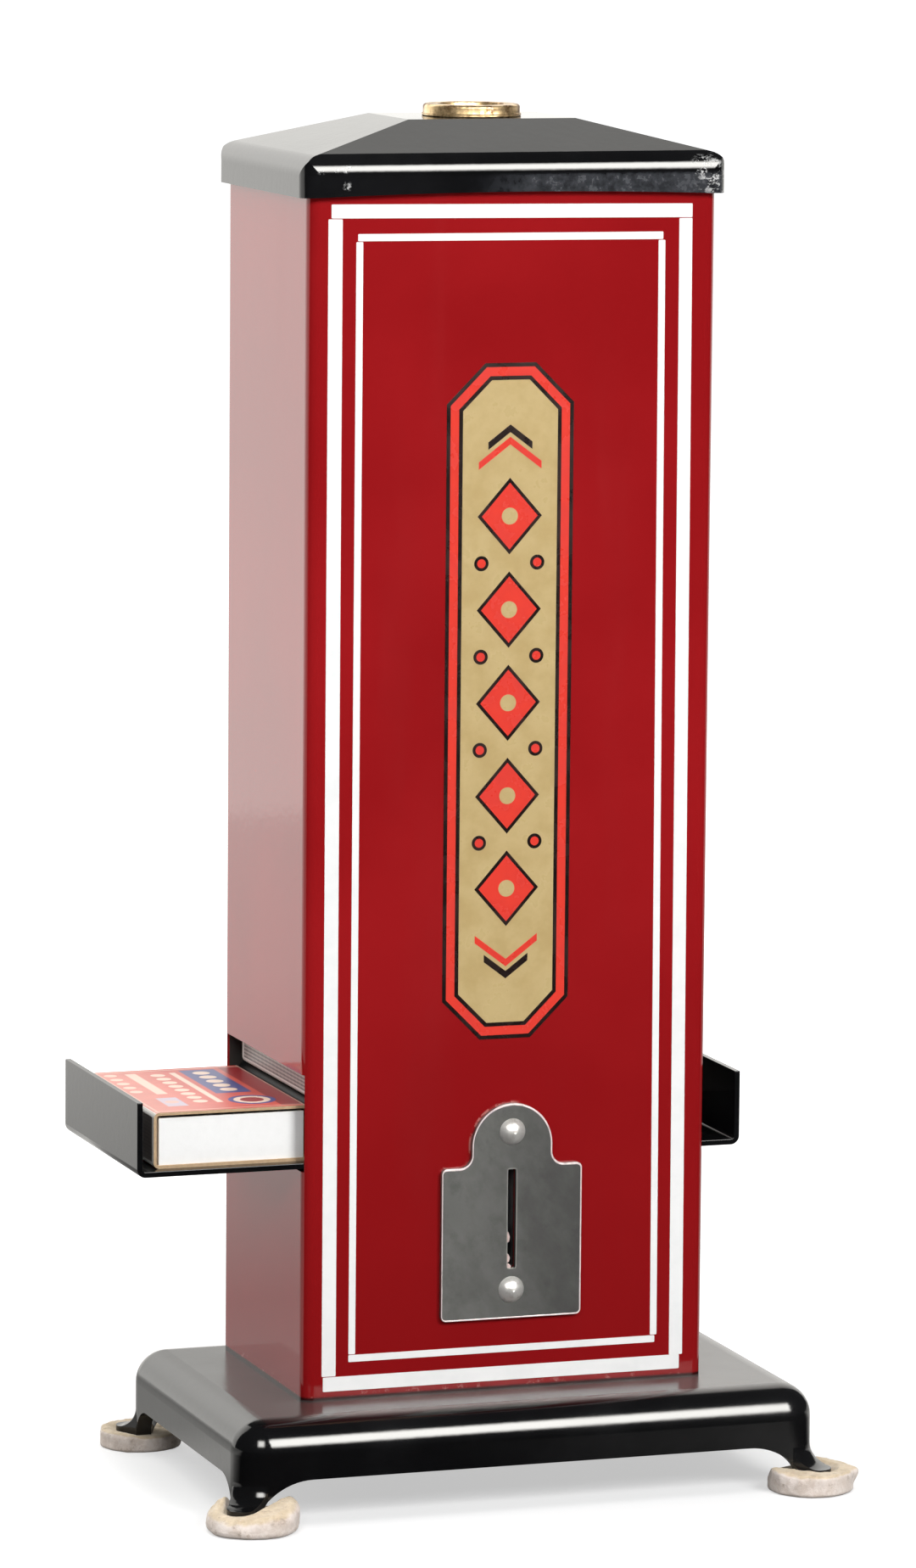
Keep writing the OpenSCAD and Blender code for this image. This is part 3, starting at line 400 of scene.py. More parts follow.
def sleeve_card(name, low, high, grit, boxes=1):
    """Printed sleeves, one or a stack: hatched striking sides, a label of blocks, bars, dots and rings, and
    painted shade in deep red along the side towards the cabinet.
    """
    s = Shader(name, specular_ior_level=0.5)
    centre = (low + high) / 2
    half = (high - low) / 2
    u = s.scaled(s.x, centre.x, half.x)
    v = s.scaled(s.y, centre.y, half.y)
    far_u, far_v = s.math("ABSOLUTE", u), s.math("ABSOLUTE", v)
    lift = s.math("FRACT", s.scaled(s.z, low.z, (high.z - low.z) / boxes))

    cream, blue, deep = paint(240, 216, 196), paint(62, 70, 136), paint(150, 40, 44)
    pale, rose, white = paint(188, 192, 216), paint(234, 186, 170), paint(238, 236, 231)
    fibres = s.noise(700, 4.0, 0.7)
    ink = s.step(s.noise(160, 4.0, 0.6), 0.35, 0.7)
    label = s.mix(ink, paint(212, 88, 74), paint(200, 74, 62))

    def block(u0, u1, v0, v1):
        """A rectangle, in shares of the half width and the half length."""
        return s.both(s.within(u, u0, u1, 0.012), s.within(v, v0, v1, 0.008))

    def dots(u0, v0, v1, number, radius):
        """A row of round dots along the box."""
        pitch = (v1 - v0) / number
        share = s.math("FRACT", s.scaled(v, v0, pitch))
        down = s.both(s.math("SUBTRACT", share, 0.5), pitch * half.y)
        beside = s.both(s.math("SUBTRACT", u, u0), half.x)
        far = s.math("SQRT", s.math("ADD", s.both(down, down), s.both(beside, beside)))
        row = s.step(far, radius + 0.15 * MM, radius - 0.15 * MM)
        return s.both(row, s.within(v, v0, v1, 0.001))

    for row in ((-0.8, -0.1, 0.9, 5, 1.5 * MM), (-0.22, -0.66, 0.8, 8, 1.7 * MM)):
        label = s.mix(dots(*row), label, cream)
    for bar in ((-0.6, -0.46, -0.16, 0.84), (-0.04, 0.04, -0.66, 0.8)):
        label = s.mix(block(*bar), label, cream)
    label = s.mix(block(-0.7, -0.44, -0.74, -0.34), label, pale)
    label = s.mix(dots(-0.57, -0.74, -0.34, 1, 1.6 * MM), label, rose)
    # painted shade: a deep red band along the side towards the cabinet stands in for its shadow and its
    # reflected red
    label = s.mix(block(0.66, 0.98, -0.95, 0.95), label, deep)
    label = s.mix(block(0.12, 0.58, -0.26, 0.88), label, blue)
    label = s.mix(dots(0.35, -0.2, 0.82, 5, 2.0 * MM), label, cream)
    ring = s.away((centre.x + 0.42 * half.x, centre.y - 0.62 * half.y, high.z))
    for radius, tint in ((5.4, blue), (4.2, cream), (2.7, deep)):
        label = s.mix(s.step(ring, (radius + 0.1) * MM, (radius - 0.1) * MM), label, tint)
    edge = s.either(s.within(far_u, 0.92, 0.945, 0.008), s.within(far_v, 0.93, 0.95, 0.006))
    label = s.mix(s.both(edge, 0.7), label, cream)
    label = s.mix(s.step(u, 0.3, -0.9, 0.0, 0.4), label, rose)

    diamonds = s.stretched(1, 1, 1, (math.radians(45), 0.0, 0.0))
    hatch = s.node("TexChecker", {"Vector": diamonds, "Scale": 1700.0}).outputs["Fac"]
    striker = s.mix(hatch, *grit)
    border = s.either(s.step(lift, 0.12, 0.1), s.step(lift, 0.9, 0.92))
    side = s.mix(border, striker, white)
    side = s.mix(s.within(far_v, 0.95, 1.1, 0.005), side, white)

    colour = s.mix(s.step(s.facing(0), 0.5, 0.6), label, side)
    brown = s.mix(s.noise(900, 4.0, 0.7), paint(164, 134, 100), paint(204, 176, 140))
    inner_u = s.step(far_u, 0.985, 0.97)
    rim = s.step(s.math("ABSOLUTE", s.math("SUBTRACT", lift, 0.5)), 0.48, 0.46)
    inside = s.either(s.step(s.facing(1), 0.5, 0.6), s.both(inner_u, rim))
    s.give(base_color=s.mix(inside, colour, brown))
    s.give(roughness=s.mix(inside, grey(0.34), grey(0.8)))
    s.bump(fibres, 0.02 * MM)
    return s.material


def white_card():
    """Thin card of the drawers."""
    s = Shader("white_card", specular_ior_level=0.3)
    fibres = s.noise(500, 5.0, 0.7)
    s.give(base_color=s.mix(fibres, paint(244, 244, 242), paint(253, 253, 252)))
    s.give(roughness=s.step(fibres, 0.3, 0.7, 0.6, 0.75))
    s.bump(fibres, 0.03 * MM)
    return s.material


def gloss_ink(name, colour, second, roughness):
    """Printed or painted film: a little uneven in tone and gloss."""
    s = Shader(name, specular_ior_level=0.5)
    drift = s.noise(120, 4.0, 0.6)
    s.give(base_color=s.mix(s.step(drift, 0.35, 0.7), colour, second))
    s.give(roughness=s.step(drift, 0.3, 0.75, roughness, roughness + 0.12))
    s.bump(s.noise(900, 2.0), 0.004 * MM)
    return s.material


# Mesh pieces


def new_piece(name, mesh_builder, materials, body):
    """Makes a mesh object from a bmesh, in the frame's own coordinates, and rides it on a body."""
    mesh = bpy.data.meshes.new(name)
    mesh_builder.normal_update()
    mesh_builder.to_mesh(mesh)
    mesh_builder.free()
    for material in materials:
        mesh.materials.append(material)
    piece = bpy.data.objects.new(name, mesh)
    bpy.context.scene.collection.objects.link(piece)
    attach(piece, body)
    return piece


def add_film(builder, outline, lower, upper, material_index=0):
    """A thin film on the cabinet's front: an outline of (x, z) points from lower to upper thickness."""
    back = [builder.verts.new((x, FRONT_Y - lower, z)) for x, z in outline]
    front = [builder.verts.new((x, FRONT_Y - upper, z)) for x, z in outline]
    faces = [builder.faces.new(front), builder.faces.new(back[::-1])]
    count = len(outline)
    for i in range(count):
        j = (i + 1) % count
        faces.append(builder.faces.new((front[i], back[i], back[j], front[j])))
    for face in faces:
        face.material_index = material_index


# Pinstripes: white tape in two frames on the cabinet's front, laid by hand and not quite square

STRIPE_T = 0.07 * MM
STRIPE_SEAM_MM = 0.16
STRIPE_CORNER_MM = 0.25
CORNER_STEPS = 4


def rounded(outline, radius):
    """Rounds the corners of an outline of (x, z) points."""
    points = []
    count = len(outline)
    for i, corner in enumerate(outline):
        corner = Vector(corner)
        ends = [Vector(outline[i - 1]), Vector(outline[(i + 1) % count])]
        first, last = (corner + (end - corner).normalized() * radius for end in ends)
        for k in range(CORNER_STEPS + 1):
            t = k / CORNER_STEPS
            spot = (1 - t) ** 2 * first + 2 * t * (1 - t) * corner + t * t * last
            points.append(tuple(spot))
    return points


def tape(builder, corners):
    """One strip of tape, from its corners in millimetres, anticlockwise from the lower left."""
    outline = rounded(corners, STRIPE_CORNER_MM)
    add_film(builder, [(x * MM, z * MM) for x, z in outline], 0, STRIPE_T)


def pinstripes():
    white = gloss_ink("stripe_white", paint(250, 250, 249), paint(243, 244, 243), 0.3)
    seam = STRIPE_SEAM_MM
    frames = {
        "outer_pinstripe": [
            [(-42.9, 289.1), (42.0, 288.3), (42.0, 291.4), (-42.9, 292.2)],
            [(-43.3, 25.4), (42.25, 25.4), (42.25, 28.7), (-43.3, 28.7)],
            [(-43.6, 28.7 + seam), (-40.3, 28.7 + seam), (-40.3, 289.05 - seam), (-43.6, 289.1 - seam)],
            [(39.8, 28.7), (43.0, 28.7), (42.0, 288.3 - seam), (38.9, 288.3 - seam)],
        ],
        "inner_pinstripe": [
            [(-36.7, 284.0), (35.1, 283.5), (35.1, 285.2), (-36.7, 285.6)],
            [(-37.3, 31.9), (36.2, 31.9), (36.2, 33.5), (-37.3, 33.5)],
            [(-37.3, 33.5 + seam), (-35.7, 33.5 + seam), (-35.5, 284.0 - seam), (-37.1, 284.0 - seam)],
            [(35.1, 33.5 + seam), (36.7, 33.5 + seam), (35.6, 283.5 - seam), (34.0, 283.5 - seam)],
        ],
    }
    for name, strips in frames.items():
        builder = bmesh.new()
        for corners in strips:
            tape(builder, corners)
        new_piece(name, builder, [white], "frame")


# Transfer on the cabinet's front: a framed panel with a plain ornament

DECAL_X = CAB_MID.x - 0.7 * MM
DECAL_LOW, DECAL_HIGH = 104 * MM, 256.5 * MM
DECAL_W = 30 * MM
DISC_SIDES = 40
FILM = 0.03 * MM


def cut_panel(inset, cut):
    """Tall panel with cut corners, drawn in by an inset."""
    x = DECAL_W / 2 - inset
    low, high = DECAL_LOW + inset, DECAL_HIGH - inset
    cut = cut - inset * (2 - math.sqrt(2))
    right = [(x - cut, low), (x, low + cut), (x, high - cut), (x - cut, high)]
    left = [(-px, pz) for px, pz in reversed(right)]
    return [(DECAL_X + px, pz) for px, pz in right + left]


def lozenge(z, half_w, half_h):
    points = [(0, -half_h), (half_w, 0), (0, half_h), (-half_w, 0)]
    return [(DECAL_X + px, z + pz) for px, pz in points]


def disc(z, radius, x=0.0):
    turns = [math.tau * i / DISC_SIDES for i in range(DISC_SIDES)]
    return [(DECAL_X + x + radius * math.cos(a), z + radius * math.sin(a)) for a in turns]


def chevron(z, half_w, rise, thick, up):
    """V band whose point looks up or down."""
    sign = 1 if up else -1
    points = [(-half_w, 0), (0, rise), (half_w, 0), (half_w, -thick), (0, rise - thick), (-half_w, -thick)]
    placed = [(DECAL_X + px, z + sign * pz) for px, pz in points]
    return placed[::-1] if up else placed


def decal():
    inks = [
        gloss_ink("decal_black", paint(24, 14, 13), paint(34, 20, 18), 0.22),
        gloss_ink("decal_red", paint(232, 62, 48), paint(222, 54, 44), 0.22),
        gloss_ink("decal_gold", paint(200, 176, 124), paint(186, 160, 106), 0.26),
    ]
    black, red, gold = range(3)
    builder = bmesh.new()
    line = 0.9 * MM
    band = 2.0 * MM
    corner = 9 * MM
    layers = [
        (cut_panel(0, corner), black),
        (cut_panel(line, corner), red),
        (cut_panel(line + band, corner), black),
        (cut_panel(2 * line + band, corner), gold),
    ]
    for i, (outline, ink) in enumerate(layers):
        add_film(builder, outline, i * FILM, (i + 1) * FILM, ink)
    first = len(layers) * FILM

    def ornament(outline, inner, ink):
        add_film(builder, outline, first, first + FILM, black)
        add_film(builder, inner, first + FILM, first + 2 * FILM, ink)

    mid = (DECAL_LOW + DECAL_HIGH) / 2
    step = 21 * MM
    half_w, half_h = 7.6 * MM, 8.6 * MM
    thin = 0.75 * MM
    slant = thin * math.hypot(half_w, half_h)
    eye_r = 1.9 * MM
    for i in range(-2, 3):
        z = mid + i * step
        inner = lozenge(z, half_w - slant / half_h, half_h - slant / half_w)
        ornament(lozenge(z, half_w, half_h), inner, red)
        add_film(builder, disc(z, eye_r), first + 2 * FILM, first + 3 * FILM, gold)
    dot_x, dot_r, core_r = 6.6 * MM, 1.7 * MM, 1.0 * MM
    for i in range(-2, 2):
        z = mid + (i + 0.5) * step
        for x in (-dot_x, dot_x):
            ornament(disc(z, dot_r, x), disc(z, core_r, x), red)
    # two chevrons beyond each end lozenge: how far out, half width, ink
    chevrons = ((12.2 * MM, 7.4 * MM, red), (16.6 * MM, 5.2 * MM, black))
    steep, thick = 0.75, 1.7 * MM
    for up in (True, False):
        sign = 1 if up else -1
        for out, wide, ink in chevrons:
            outline = chevron(mid + sign * (2 * step + out), wide, wide * steep, thick, up)
            add_film(builder, outline, first, first + FILM, ink)
    new_piece("front_transfer", builder, inks, "frame")


# Painted highlights on the coin plate's edges: a fine roll along its outline and round the slot, coloured
# bright where its rounded edges catch the light

# a face no deeper than this belongs to the plate's front
FLAT = 0.01 * MM


def loop_length(loop):
    return sum(math.dist(a, b) for a, b in zip(loop, loop[1:] + loop[:1]))


def plate_loops():
    """The outlines of the plate's front face as lists of (x, z), the longest first."""
    mesh = nodes["coin_plate"].data
    key = [tuple(round(c, 6) for c in v.co) for v in mesh.vertices]
    edges = {}
    for face in mesh.polygons:
        corners = [key[i] for i in face.vertices]
        if max(c[1] for c in corners) - plate_low.y < FLAT:
            for first, last in zip(corners, corners[1:] + corners[:1]):
                edges[first] = edges.get(first, []) + [last]
    follows = {}
    for first, ends in edges.items():
        for last in ends:
            if first not in edges.get(last, []):
                follows[first] = last
    loops = []
    while follows:
        spot = min(follows)
        loop = []
        while spot in follows:
            loop.append((spot[0], spot[2]))
            spot = follows.pop(spot)
        loops.append(loop)
    return sorted(loops, key=loop_length, reverse=True)


def add_roll(builder, loop, width, proud, material_index):
    """A low roll that laps over the edge of an outline; width takes the way that the edge looks."""
    sunk = 0.02 * MM
    rows = []
    count = len(loop)
    for i in range(count):
        before, here, after = (Vector(loop[(i + k) % count]) for k in (-1, 0, 1))
        ways = [(here - before).normalized(), (after - here).normalized()]
        out = sum((Vector((way.y, -way.x)) for way in ways), Vector((0, 0))).normalized()
        reach = width(out)
        profile = [(-reach, sunk), (-0.6 * reach, -proud), (-0.15 * reach, -proud),
                   (proud, 0.15 * reach), (proud, 0.6 * reach), (-sunk, reach)]
        rows.append([builder.verts.new((here.x + out.x * a, plate_low.y + b, here.y + out.y * a))
                     for a, b in profile])
    for row, following in zip(rows, rows[1:] + rows[:1]):
        for k in range(len(row) - 1):
            face = builder.faces.new((row[k], following[k], following[k + 1], row[k + 1]))
            face.smooth = True
            face.material_index = material_index


def plate_edge_highlights():
    outline, slot = plate_loops()[:2]
    edge_highlights = [painted_edge_highlight("plate_rim_highlight", paint(244, 228, 226), paint(158, 150, 147)),
            painted_edge_highlight("slot_rim_highlight", paint(150, 149, 143), paint(120, 119, 115))]

    def rim_width(out):
        """Wider where the edge looks up, narrower where it looks left."""
        return (0.34 + 0.16 * max(out.y, 0) - 0.08 * max(-out.x, 0)) * MM

    def slot_width(out):
        return 0.28 * MM

    builder = bmesh.new()
    add_roll(builder, outline, rim_width, 0.05 * MM, 0)
    add_roll(builder, slot, slot_width, 0.03 * MM, 1)
    bmesh.ops.recalc_face_normals(builder, faces=builder.faces)
    new_piece("plate_edge_highlights", builder, edge_highlights, "frame")


# Burrs of worn metal in the lower left of the coin slot

SLOT_LEFT = PLATE_MID.x - 1.05 * MM
# height of the middle, width and half height, in millimetres
BURRS = ((58.4, 0.75, 1.3), (53.6, 0.8, 1.0), (51.7, 1.1, 0.7))
BURR_OUTLINE = ((0.0, -1.0), (0.7, -0.7), (1.0, 0.1), (0.5, 1.0), (0.0, 1.2))


def slot_burrs():
    worn = gloss_ink("burr_metal", paint(218, 192, 186), paint(190, 164, 158), 0.4)
    builder = bmesh.new()
    for z, wide, half in BURRS:
        points = [(SLOT_LEFT + u * wide * MM, (z + v * half) * MM) for u, v in BURR_OUTLINE]
        add_film(builder, points, 0.3 * MM, 0.9 * MM)
    new_piece("slot_burrs", builder, [worn], "frame")


# Felt pads, which rise round the toes of the feet

TOE_REACH = 10 * MM
TOE_TIP_R = 3.4 * MM
TOE_ROOT_R = 6.2 * MM
DIAGONAL = math.sqrt(0.5)
PAD_SIDES = 180
# name, seed, share of the solid's radius, directions of the tip and of the high side in radians, then
# in millimetres: shift in x, lower and upper edge radius, reach of the tip, rise of the low and high side
PADS = (
    ("front_left", 1.0, 1.02, 1.0, 0.7, 0.0, 1.5, 2.6, 0.0, 0.6, 3.7),
    ("front_right", 2.0, 0.94, -0.25, 2.0, 1.05, 0.9, 1.1, 1.1, 1.3, 2.1),
    ("rear_left", 3.0, 0.91, 2.6, 2.2, 0.0, 0.6, 1.2, 0.4, 0.3, 0.7),
    ("rear_right", 4.0, 0.95, 4.0, 0.6, 0.0, 0.6, 1.2, 0.4, 0.5, 1.0),
)


def foot_distance(x, y):
    """Distance outside the tapering toe of the nearest foot, seen from above."""
    inward = TOE_REACH * DIAGONAL + TOE_TIP_R
    dx = abs(x) - (base_high.x - inward)
    dy = abs(y) - (base_high.y - inward)
    along = min(max((dx + dy) * DIAGONAL / TOE_REACH, 0.0), 1.0)
    spot = along * TOE_REACH * DIAGONAL
    return math.hypot(dx - spot, dy - spot) - (TOE_ROOT_R + (TOE_TIP_R - TOE_ROOT_R) * along)


def smooth(value):
    """Smooth step from 0 to 1."""
    value = min(max(value, 0.0), 1.0)
    return value * value * (3 - 2 * value)


def pad_rings(foot_r, edge_r):
    """Rings of a pad from underneath to its top: share of the radius, inset, share of the height, offset."""
    turns = [math.radians(a) for a in range(10, 90, 10)]
    under = [(k / 20, foot_r, 0.0, 0.0) for k in range(1, 21)]
    foot = [(1, foot_r * (1 - math.sin(a)), 0.0, foot_r * (1 - math.cos(a))) for a in turns]
    side = [(1, 0.0, k / 6, foot_r - k / 6 * (foot_r + edge_r)) for k in range(7)]
    shoulder = [(1, edge_r * (1 - math.cos(a)), 1.0, -edge_r * (1 - math.sin(a))) for a in turns]
    top = [(1 - k / 26, edge_r, 1.0, 0.0) for k in range(26)]
    return under + foot + side + shoulder + top


def felt_pad(name, seed, size, tip, high_side, shift, foot_r, edge_r, tip_out, low_rise, high_rise):
    """A disc cut from thick felt: uneven outline, soft edges, a top that rises beside the toe."""
    low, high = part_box(name)
    centre = (low + high) / 2 + Vector((shift, 0, 0))
    radius = (high.x - low.x) / 2
    thick = high.z - low.z
    drift = Vector((seed * 3.1, seed * 1.7, seed * 0.6))

    def ragged(angle, height):
        """Radius of the uneven outline at an angle, with one tip that grows towards the top."""
        spot = Vector((math.cos(angle), math.sin(angle), 0.0))
        slow = noise.noise(spot * 1.1 + drift)
        quick = noise.noise(spot * 5.0 + drift + Vector((0, 0, height * 0.5)))
        point = math.exp(-(math.remainder(angle - tip, math.tau) / 0.13) ** 2) * smooth(height)
        return radius * (size + 0.035 * slow + 0.014 * quick) + tip_out * point

    builder = bmesh.new()
    grid = []
    for share, inset, height, offset in pad_rings(foot_r, edge_r):
        row = []
        for i in range(PAD_SIDES):
            angle = math.tau * i / PAD_SIDES
            r = share * (ragged(angle, height) - inset)
            x = centre.x + r * math.cos(angle)
            y = centre.y + r * math.sin(angle)
            free = smooth((foot_distance(x, y) + 0.1 * MM) / (2.2 * MM))
            tilt = 0.5 + 0.5 * math.cos(angle - high_side) * min(r / radius * 1.6, 1.0)
            z = height * (thick + free * (low_rise + tilt * (high_rise - low_rise))) + offset
            spot = Vector((x, y, z))
            fluff = noise.fractal(spot * 420 + drift, 0.9, 2.2, 4) * 0.16 * MM
            lump = noise.noise(spot * 150 + drift) * 0.22 * MM
            if share == 1:
                x += math.cos(angle) * (fluff + lump)
                y += math.sin(angle) * (fluff + lump)
            z += (fluff + lump) * free * smooth(height)
            row.append(builder.verts.new((x, y, max(z, 0.0))))
        grid.append(row)
    for lower, upper in zip(grid, grid[1:]):
        for i in range(PAD_SIDES):
            j = (i + 1) % PAD_SIDES
            builder.faces.new((lower[i], lower[j], upper[j], upper[i]))
    builder.faces.new(grid[0][::-1])
    builder.faces.new(grid[-1])
    for face in builder.faces:
        face.smooth = True
    return builder


def felt_pads():
    wool = felt()
    for name, seed, size, tip, high_side, *lengths in PADS:
        pad = "felt_pad_" + name
        builder = felt_pad(pad, seed, size, tip, high_side, *(length * MM for length in lengths))
        piece = new_piece(pad + "_wool", builder, [wool], "frame")
        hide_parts(pad)


# Finish of the CAD nodes

# boxes in the stack
STACKED = 4


def soften(piece, width):
    """Small rounded edges, added over the solid's own faces."""
    weld = piece.modifiers.new("weld", "WELD")
    weld.merge_threshold = 1e-6
    bevel = piece.modifiers.new("edges", "BEVEL")
    bevel.width = width
    bevel.segments = 2
    bevel.limit_method = "ANGLE"
    bevel.angle_limit = math.radians(40)
    bevel.harden_normals = True


def dress():
    """Gives every CAD node its material; a scuff is a point and a radius."""
    front = lid_low.y + 0.5 * MM
    lid_scuffs = [
        ((lid_high.x - 3 * MM, front, lid_low.z + 4 * MM), 6 * MM),
        ((lid_high.x - 6 * MM, front, lid_low.z + 6 * MM), 3.6 * MM),
        ((lid_high.x, front + 3 * MM, lid_low.z + 6 * MM), 5 * MM),
        ((lid_low.x + 4 * MM, front, lid_low.z + 6.2 * MM), 1.4 * MM),
        ((lid_low.x + 7 * MM, front, lid_low.z + 6.4 * MM), 1.4 * MM),
        ((lid_low.x + 10 * MM, front, lid_low.z + 6.4 * MM), 1.4 * MM),
        ((lid_low.x + 10 * MM, front, lid_low.z + 2.6 * MM), 1.5 * MM),
    ]
    zinc, gold = zinc_plate(), brass("brass", paint(112, 78, 44), 0.5)
    # painted shade: the matchbox's striking sides are near black, as they sit in shade on the tray
    grit_in_shade = paint(34, 24, 23), paint(78, 66, 62)
    fresh_grit = paint(48, 34, 32), paint(198, 186, 180)
    base_enamel = black_enamel("base_enamel", waves=0.05 * MM, specks=0.12, worn=base_dust_and_sheen, polish=0.1)
    plug_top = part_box("lock_plug")[1].z
    finish = {
        "cabinet_shell": red_enamel(),
        "base_casting": base_enamel,
        "lid": black_enamel("lid_enamel", lid_scuffs, worn=lid_haze),
        "slide_tray": black_enamel("tray_enamel"),
        "slide_bridge": black_enamel("bridge_enamel", polish=0.5, level=0.15),
        "coin_plate": plate_steel(),
        "coin_plate_rivets": nickel(),
        "lock_plug": brass("plug_brass", paint(186, 152, 104), 0.2, plug_top),
        "latch_spring": spring_steel(),
        "matchbox_sleeve": sleeve_card("matchbox_print", box_low, box_high, grit_in_shade),
        "stack_sleeves": sleeve_card("stack_print", stack_low, stack_high, fresh_grit, STACKED),
    }
    card = white_card()
    for name in ("matchbox_drawer", "stack_drawers"):
        finish[name] = card
    for name in ("lock_housing", "lock_nut", "latch_lever"):
        finish[name] = gold
    for name, node in nodes.items():
        node.material_slots[0].material = finish.get(name, zinc)
    soften(nodes["slide_tray"], 0.15 * MM)
    soften(nodes["lock_housing"], 0.3 * MM)


# Studio

WARM = (1.0, 0.985, 0.945, 1.0)
PANEL_RISE_FADE = 0.34
AIM = (0, 0, 0.15)
KEY_AT = (0.54, -1.38, 0.96)
FRONT_AT = (-0.75, -1.55, 1.15)
# name, place, aim, size, power
LAMPS = (
    ("key_light", KEY_AT, AIM, (0.66, 0.62), 20),
    ("front_light", FRONT_AT, AIM, (0.8, 0.45), 10),
    ("top_light", (-0.3, -0.1, 1.6), (0, 0, 0.1), (0.9, 0.6), 8),
    ("side_light", (-1.3, 0.1, 0.7), AIM, (0.8, 0.8), 3),
)
# name, place, size, strength, share of the half width that fades
MIRROR_PANELS = (
    ("key_panel", KEY_AT, (0.76, 1.15), 24, 0.1),
    ("front_panel", FRONT_AT, (1.1, 1.1), 18, 0.34),
)
CAMERA_AT = (-0.5519, -1.58375, 0.3968)
# yaw, pitch and roll in degrees
CAMERA_TURNS = (19.076, 8.083, 0.491)
LENS = 171.2


def aimed(location, target):
    """Rotation that points a lamp or panel at a target."""
    return (Vector(target) - Vector(location)).to_track_quat("-Z", "Y").to_euler()


def stage_plane(name, size, location, rotation, material):
    mesh = bpy.data.meshes.new(name)
    w, h = size[0] / 2, size[1] / 2
    mesh.from_pydata([(-w, -h, 0), (w, -h, 0), (w, h, 0), (-w, h, 0)], [], [(0, 1, 2, 3)])
    mesh.materials.append(material)
    plane = bpy.data.objects.new(name, mesh)
    plane.location = location
    plane.rotation_euler = rotation
    bpy.context.scene.collection.objects.link(plane)
    return plane


def stage_graph(material):
    """An emptied graph, for the floor, the panels and the world."""
    material.use_nodes = True
    material.node_tree.nodes.clear()
    return Graph(material.node_tree)


def floor():
    """Pale floor that keeps the shadow; mirrored in the object it is dim in front and bright behind."""
    material = bpy.data.materials.new("floor")
    g = stage_graph(material)
    place = g.node("NewGeometry").outputs["Position"]
    x, y, _ = g.node("SeparateXYZ", {"Vector": place}).outputs
    away = g.node("VectorMath", {0: place}, operation="LENGTH").outputs["Value"]
    path = g.node("LightPath").outputs
    pale = g.node("BsdfDiffuse", {"Color": (0.55, 0.55, 0.55, 1)})
    lift = g.node("Emission", {"Strength": g.ramp(away, [(0.1, 0.52), (0.5, 1.02)])})
    seen = g.node("AddShader", {0: pale.outputs[0], 1: lift.outputs[0]})
    unseen = g.node("BsdfDiffuse", {"Color": (0.35, 0.35, 0.35, 1)})
    direct = g.node("MixShader", {0: path["Is Camera Ray"], 1: unseen.outputs[0], 2: seen.outputs[0]})
    behind = g.ramp(y, [(-0.03, 0.0), (0.015, 1.0), (0.03, 1.0), (0.06, 0.72), (0.19, 0.62), (0.3, 0.86),
                        (0.66, 1.35), (1.0, 1.5)])
    aside = g.ramp(x, [(0.0, 0.0), (0.02, 0.045), (0.06, 0.2), (0.08, 0.4), (0.09, 0.4), (0.105, 0.0)])
    ahead = g.both(g.within(y, -0.12, -0.05, 0.01), aside)
    mirrored = g.node("Emission", {"Color": WARM, "Strength": g.either(behind, ahead)})
    both = g.node("MixShader", {0: path["Is Glossy Ray"], 1: direct.outputs[0], 2: mirrored.outputs[0]})
    g.node("OutputMaterial", {"Surface": both.outputs[0]})
    stage_plane("floor", (30, 30), (0, 0, 0), (0, 0, 0), material)


def back_panel():
    """Lit paper behind the object, seen only by reflections and as soft light."""
    material = bpy.data.materials.new("back_panel")
    g = stage_graph(material)
    place = g.node("NewGeometry").outputs["Position"]
    x, _, z = g.node("SeparateXYZ", {"Vector": place}).outputs
    rise = g.ramp(z, [(0.0, 1.05), (0.25, 1.05), (0.5, 1.34), (0.9, 1.3), (1.4, 1.0), (1.8, 0.9)])
    across = g.ramp(x, [(-0.35, 1.75), (-0.1, 1.45), (0.2, 1.0), (0.45, 1.25)])
    glow = g.node("Emission", {"Color": WARM, "Strength": g.both(rise, across)})
    g.node("OutputMaterial", {"Surface": glow.outputs[0]})
    panel = stage_plane("back_panel", (2.6, 1.8), (0, 1.0, 0.9), (math.radians(90), 0, 0), material)
    panel.visible_camera = False
    panel.visible_shadow = False


def mirror_panel(name, location, size, strength, side_fade):
    """The face of a soft box as reflections see it, fading towards its edges."""
    material = bpy.data.materials.new(name)
    g = stage_graph(material)
    place = g.node("TexCoord").outputs["Object"]
    fades = []
    for offset, length, fade in zip(g.node("SeparateXYZ", {"Vector": place}).outputs, size,
                                    (side_fade, PANEL_RISE_FADE)):
        full = (1 - fade) * length / 2
        fades.append(g.within(offset, -full, full, fade * length / 2))
    glow = g.node("Emission", {"Color": WARM, "Strength": g.both(g.both(*fades), strength)})
    g.node("OutputMaterial", {"Surface": glow.outputs[0]})
    panel = stage_plane(name, size, location, aimed(location, AIM), material)
    panel.visible_camera = False
    panel.visible_diffuse = False
    panel.visible_shadow = False


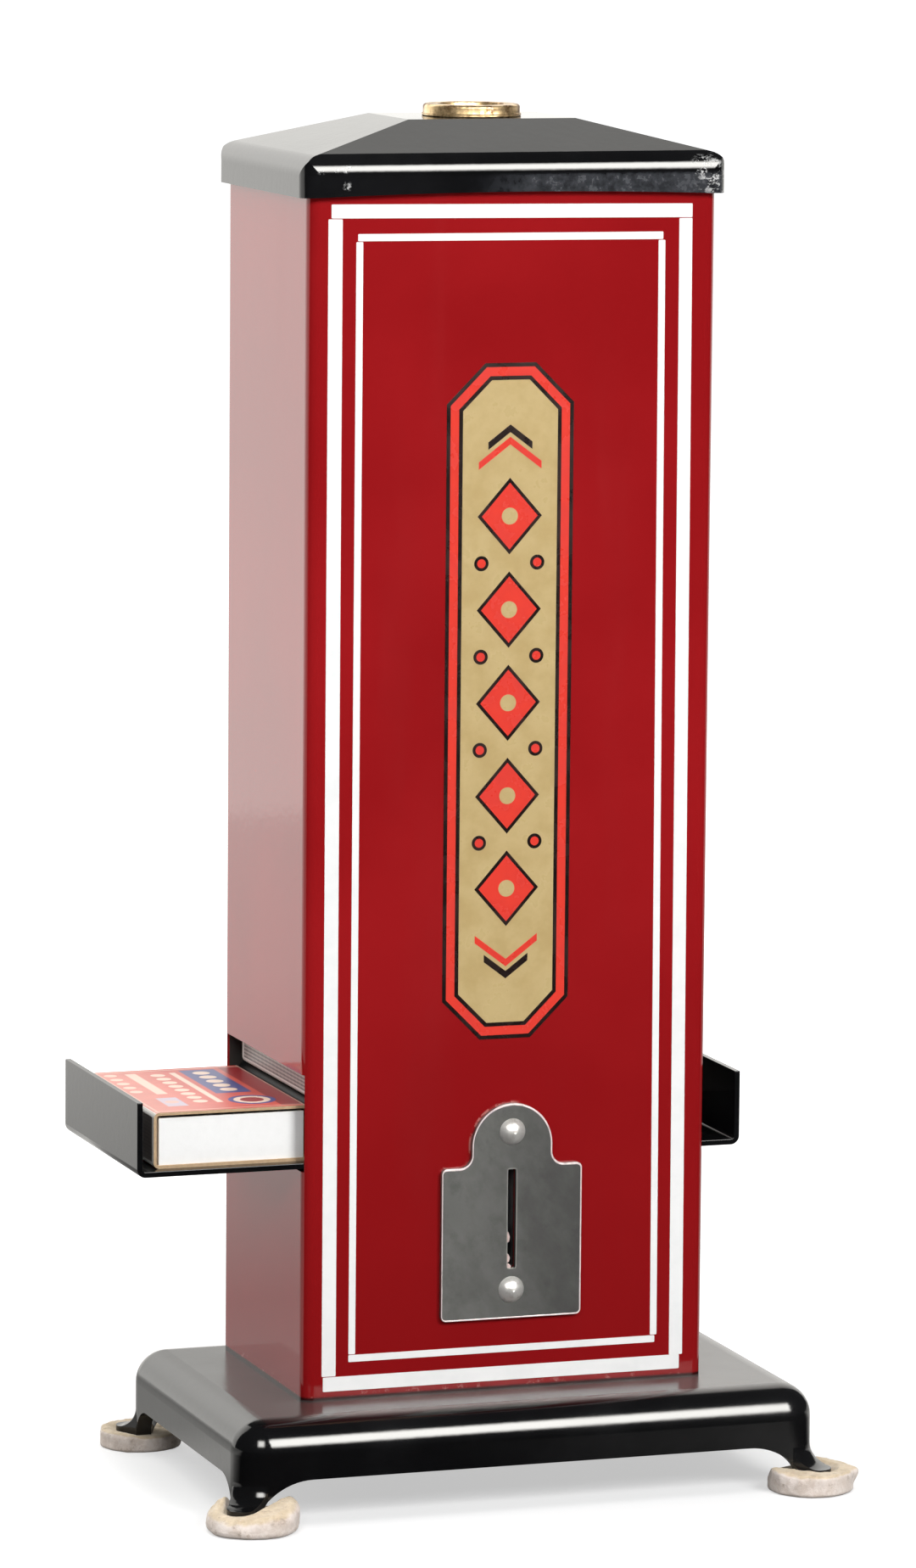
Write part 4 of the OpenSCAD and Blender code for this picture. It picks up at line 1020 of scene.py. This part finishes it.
def soft_box(name, location, target, size, power):
    """A lamp that no reflection shows."""
    data = bpy.data.lights.new(name, "AREA")
    data.shape = "RECTANGLE"
    data.size, data.size_y = size
    data.energy = power
    lamp = bpy.data.objects.new(name, data)
    lamp.location = location
    lamp.rotation_euler = aimed(location, target)
    lamp.visible_camera = False
    lamp.visible_glossy = False
    bpy.context.scene.collection.objects.link(lamp)


def world():
    """White to the camera, a weak fill for the object, nearly dark in reflections."""
    made = bpy.data.worlds.new("studio")
    g = stage_graph(made)
    path = g.node("LightPath").outputs
    white = g.node("Background", {"Color": (1, 1, 1, 1), "Strength": 1.0})
    fill = g.node("Background", {"Color": (0.95, 0.97, 1.0, 1), "Strength": 0.14})
    dim = g.node("Background", {"Color": (0.9, 0.95, 1.0, 1), "Strength": 0.04})
    unseen = g.node("MixShader", {0: path["Is Glossy Ray"], 1: fill.outputs[0], 2: dim.outputs[0]})
    seen = g.node("MixShader", {0: path["Is Camera Ray"], 1: unseen.outputs[0], 2: white.outputs[0]})
    g.node("OutputWorld", {"Surface": seen.outputs[0]})
    bpy.context.scene.world = made


def camera():
    """Set at the photograph's own place and angle; the frame is 1080 by 1848 pixels."""
    yaw, pitch, roll = (math.radians(a) for a in CAMERA_TURNS)
    ahead = Vector((math.sin(yaw) * math.cos(pitch), math.cos(yaw) * math.cos(pitch), -math.sin(pitch)))
    right = Vector((math.cos(yaw), -math.sin(yaw), 0))
    up = right.cross(ahead)
    rolled = math.cos(roll) * right + math.sin(roll) * up
    top = math.cos(roll) * up - math.sin(roll) * right
    data = bpy.data.cameras.new("camera")
    data.sensor_width = 36
    data.lens = LENS
    data.clip_end = 100
    made = bpy.data.objects.new("camera", data)
    turn = Matrix((rolled, top, -ahead)).transposed().to_4x4()
    made.matrix_world = Matrix.Translation(CAMERA_AT) @ turn
    bpy.context.scene.collection.objects.link(made)
    bpy.context.scene.camera = made


dress()
pinstripes()
decal()
plate_edge_highlights()
slot_burrs()
felt_pads()
floor()
back_panel()
for lamp_values in LAMPS:
    soft_box(*lamp_values)
for panel_values in MIRROR_PANELS:
    mirror_panel(*panel_values)
world()
camera()
bpy.context.scene.view_settings.view_transform = "Standard"
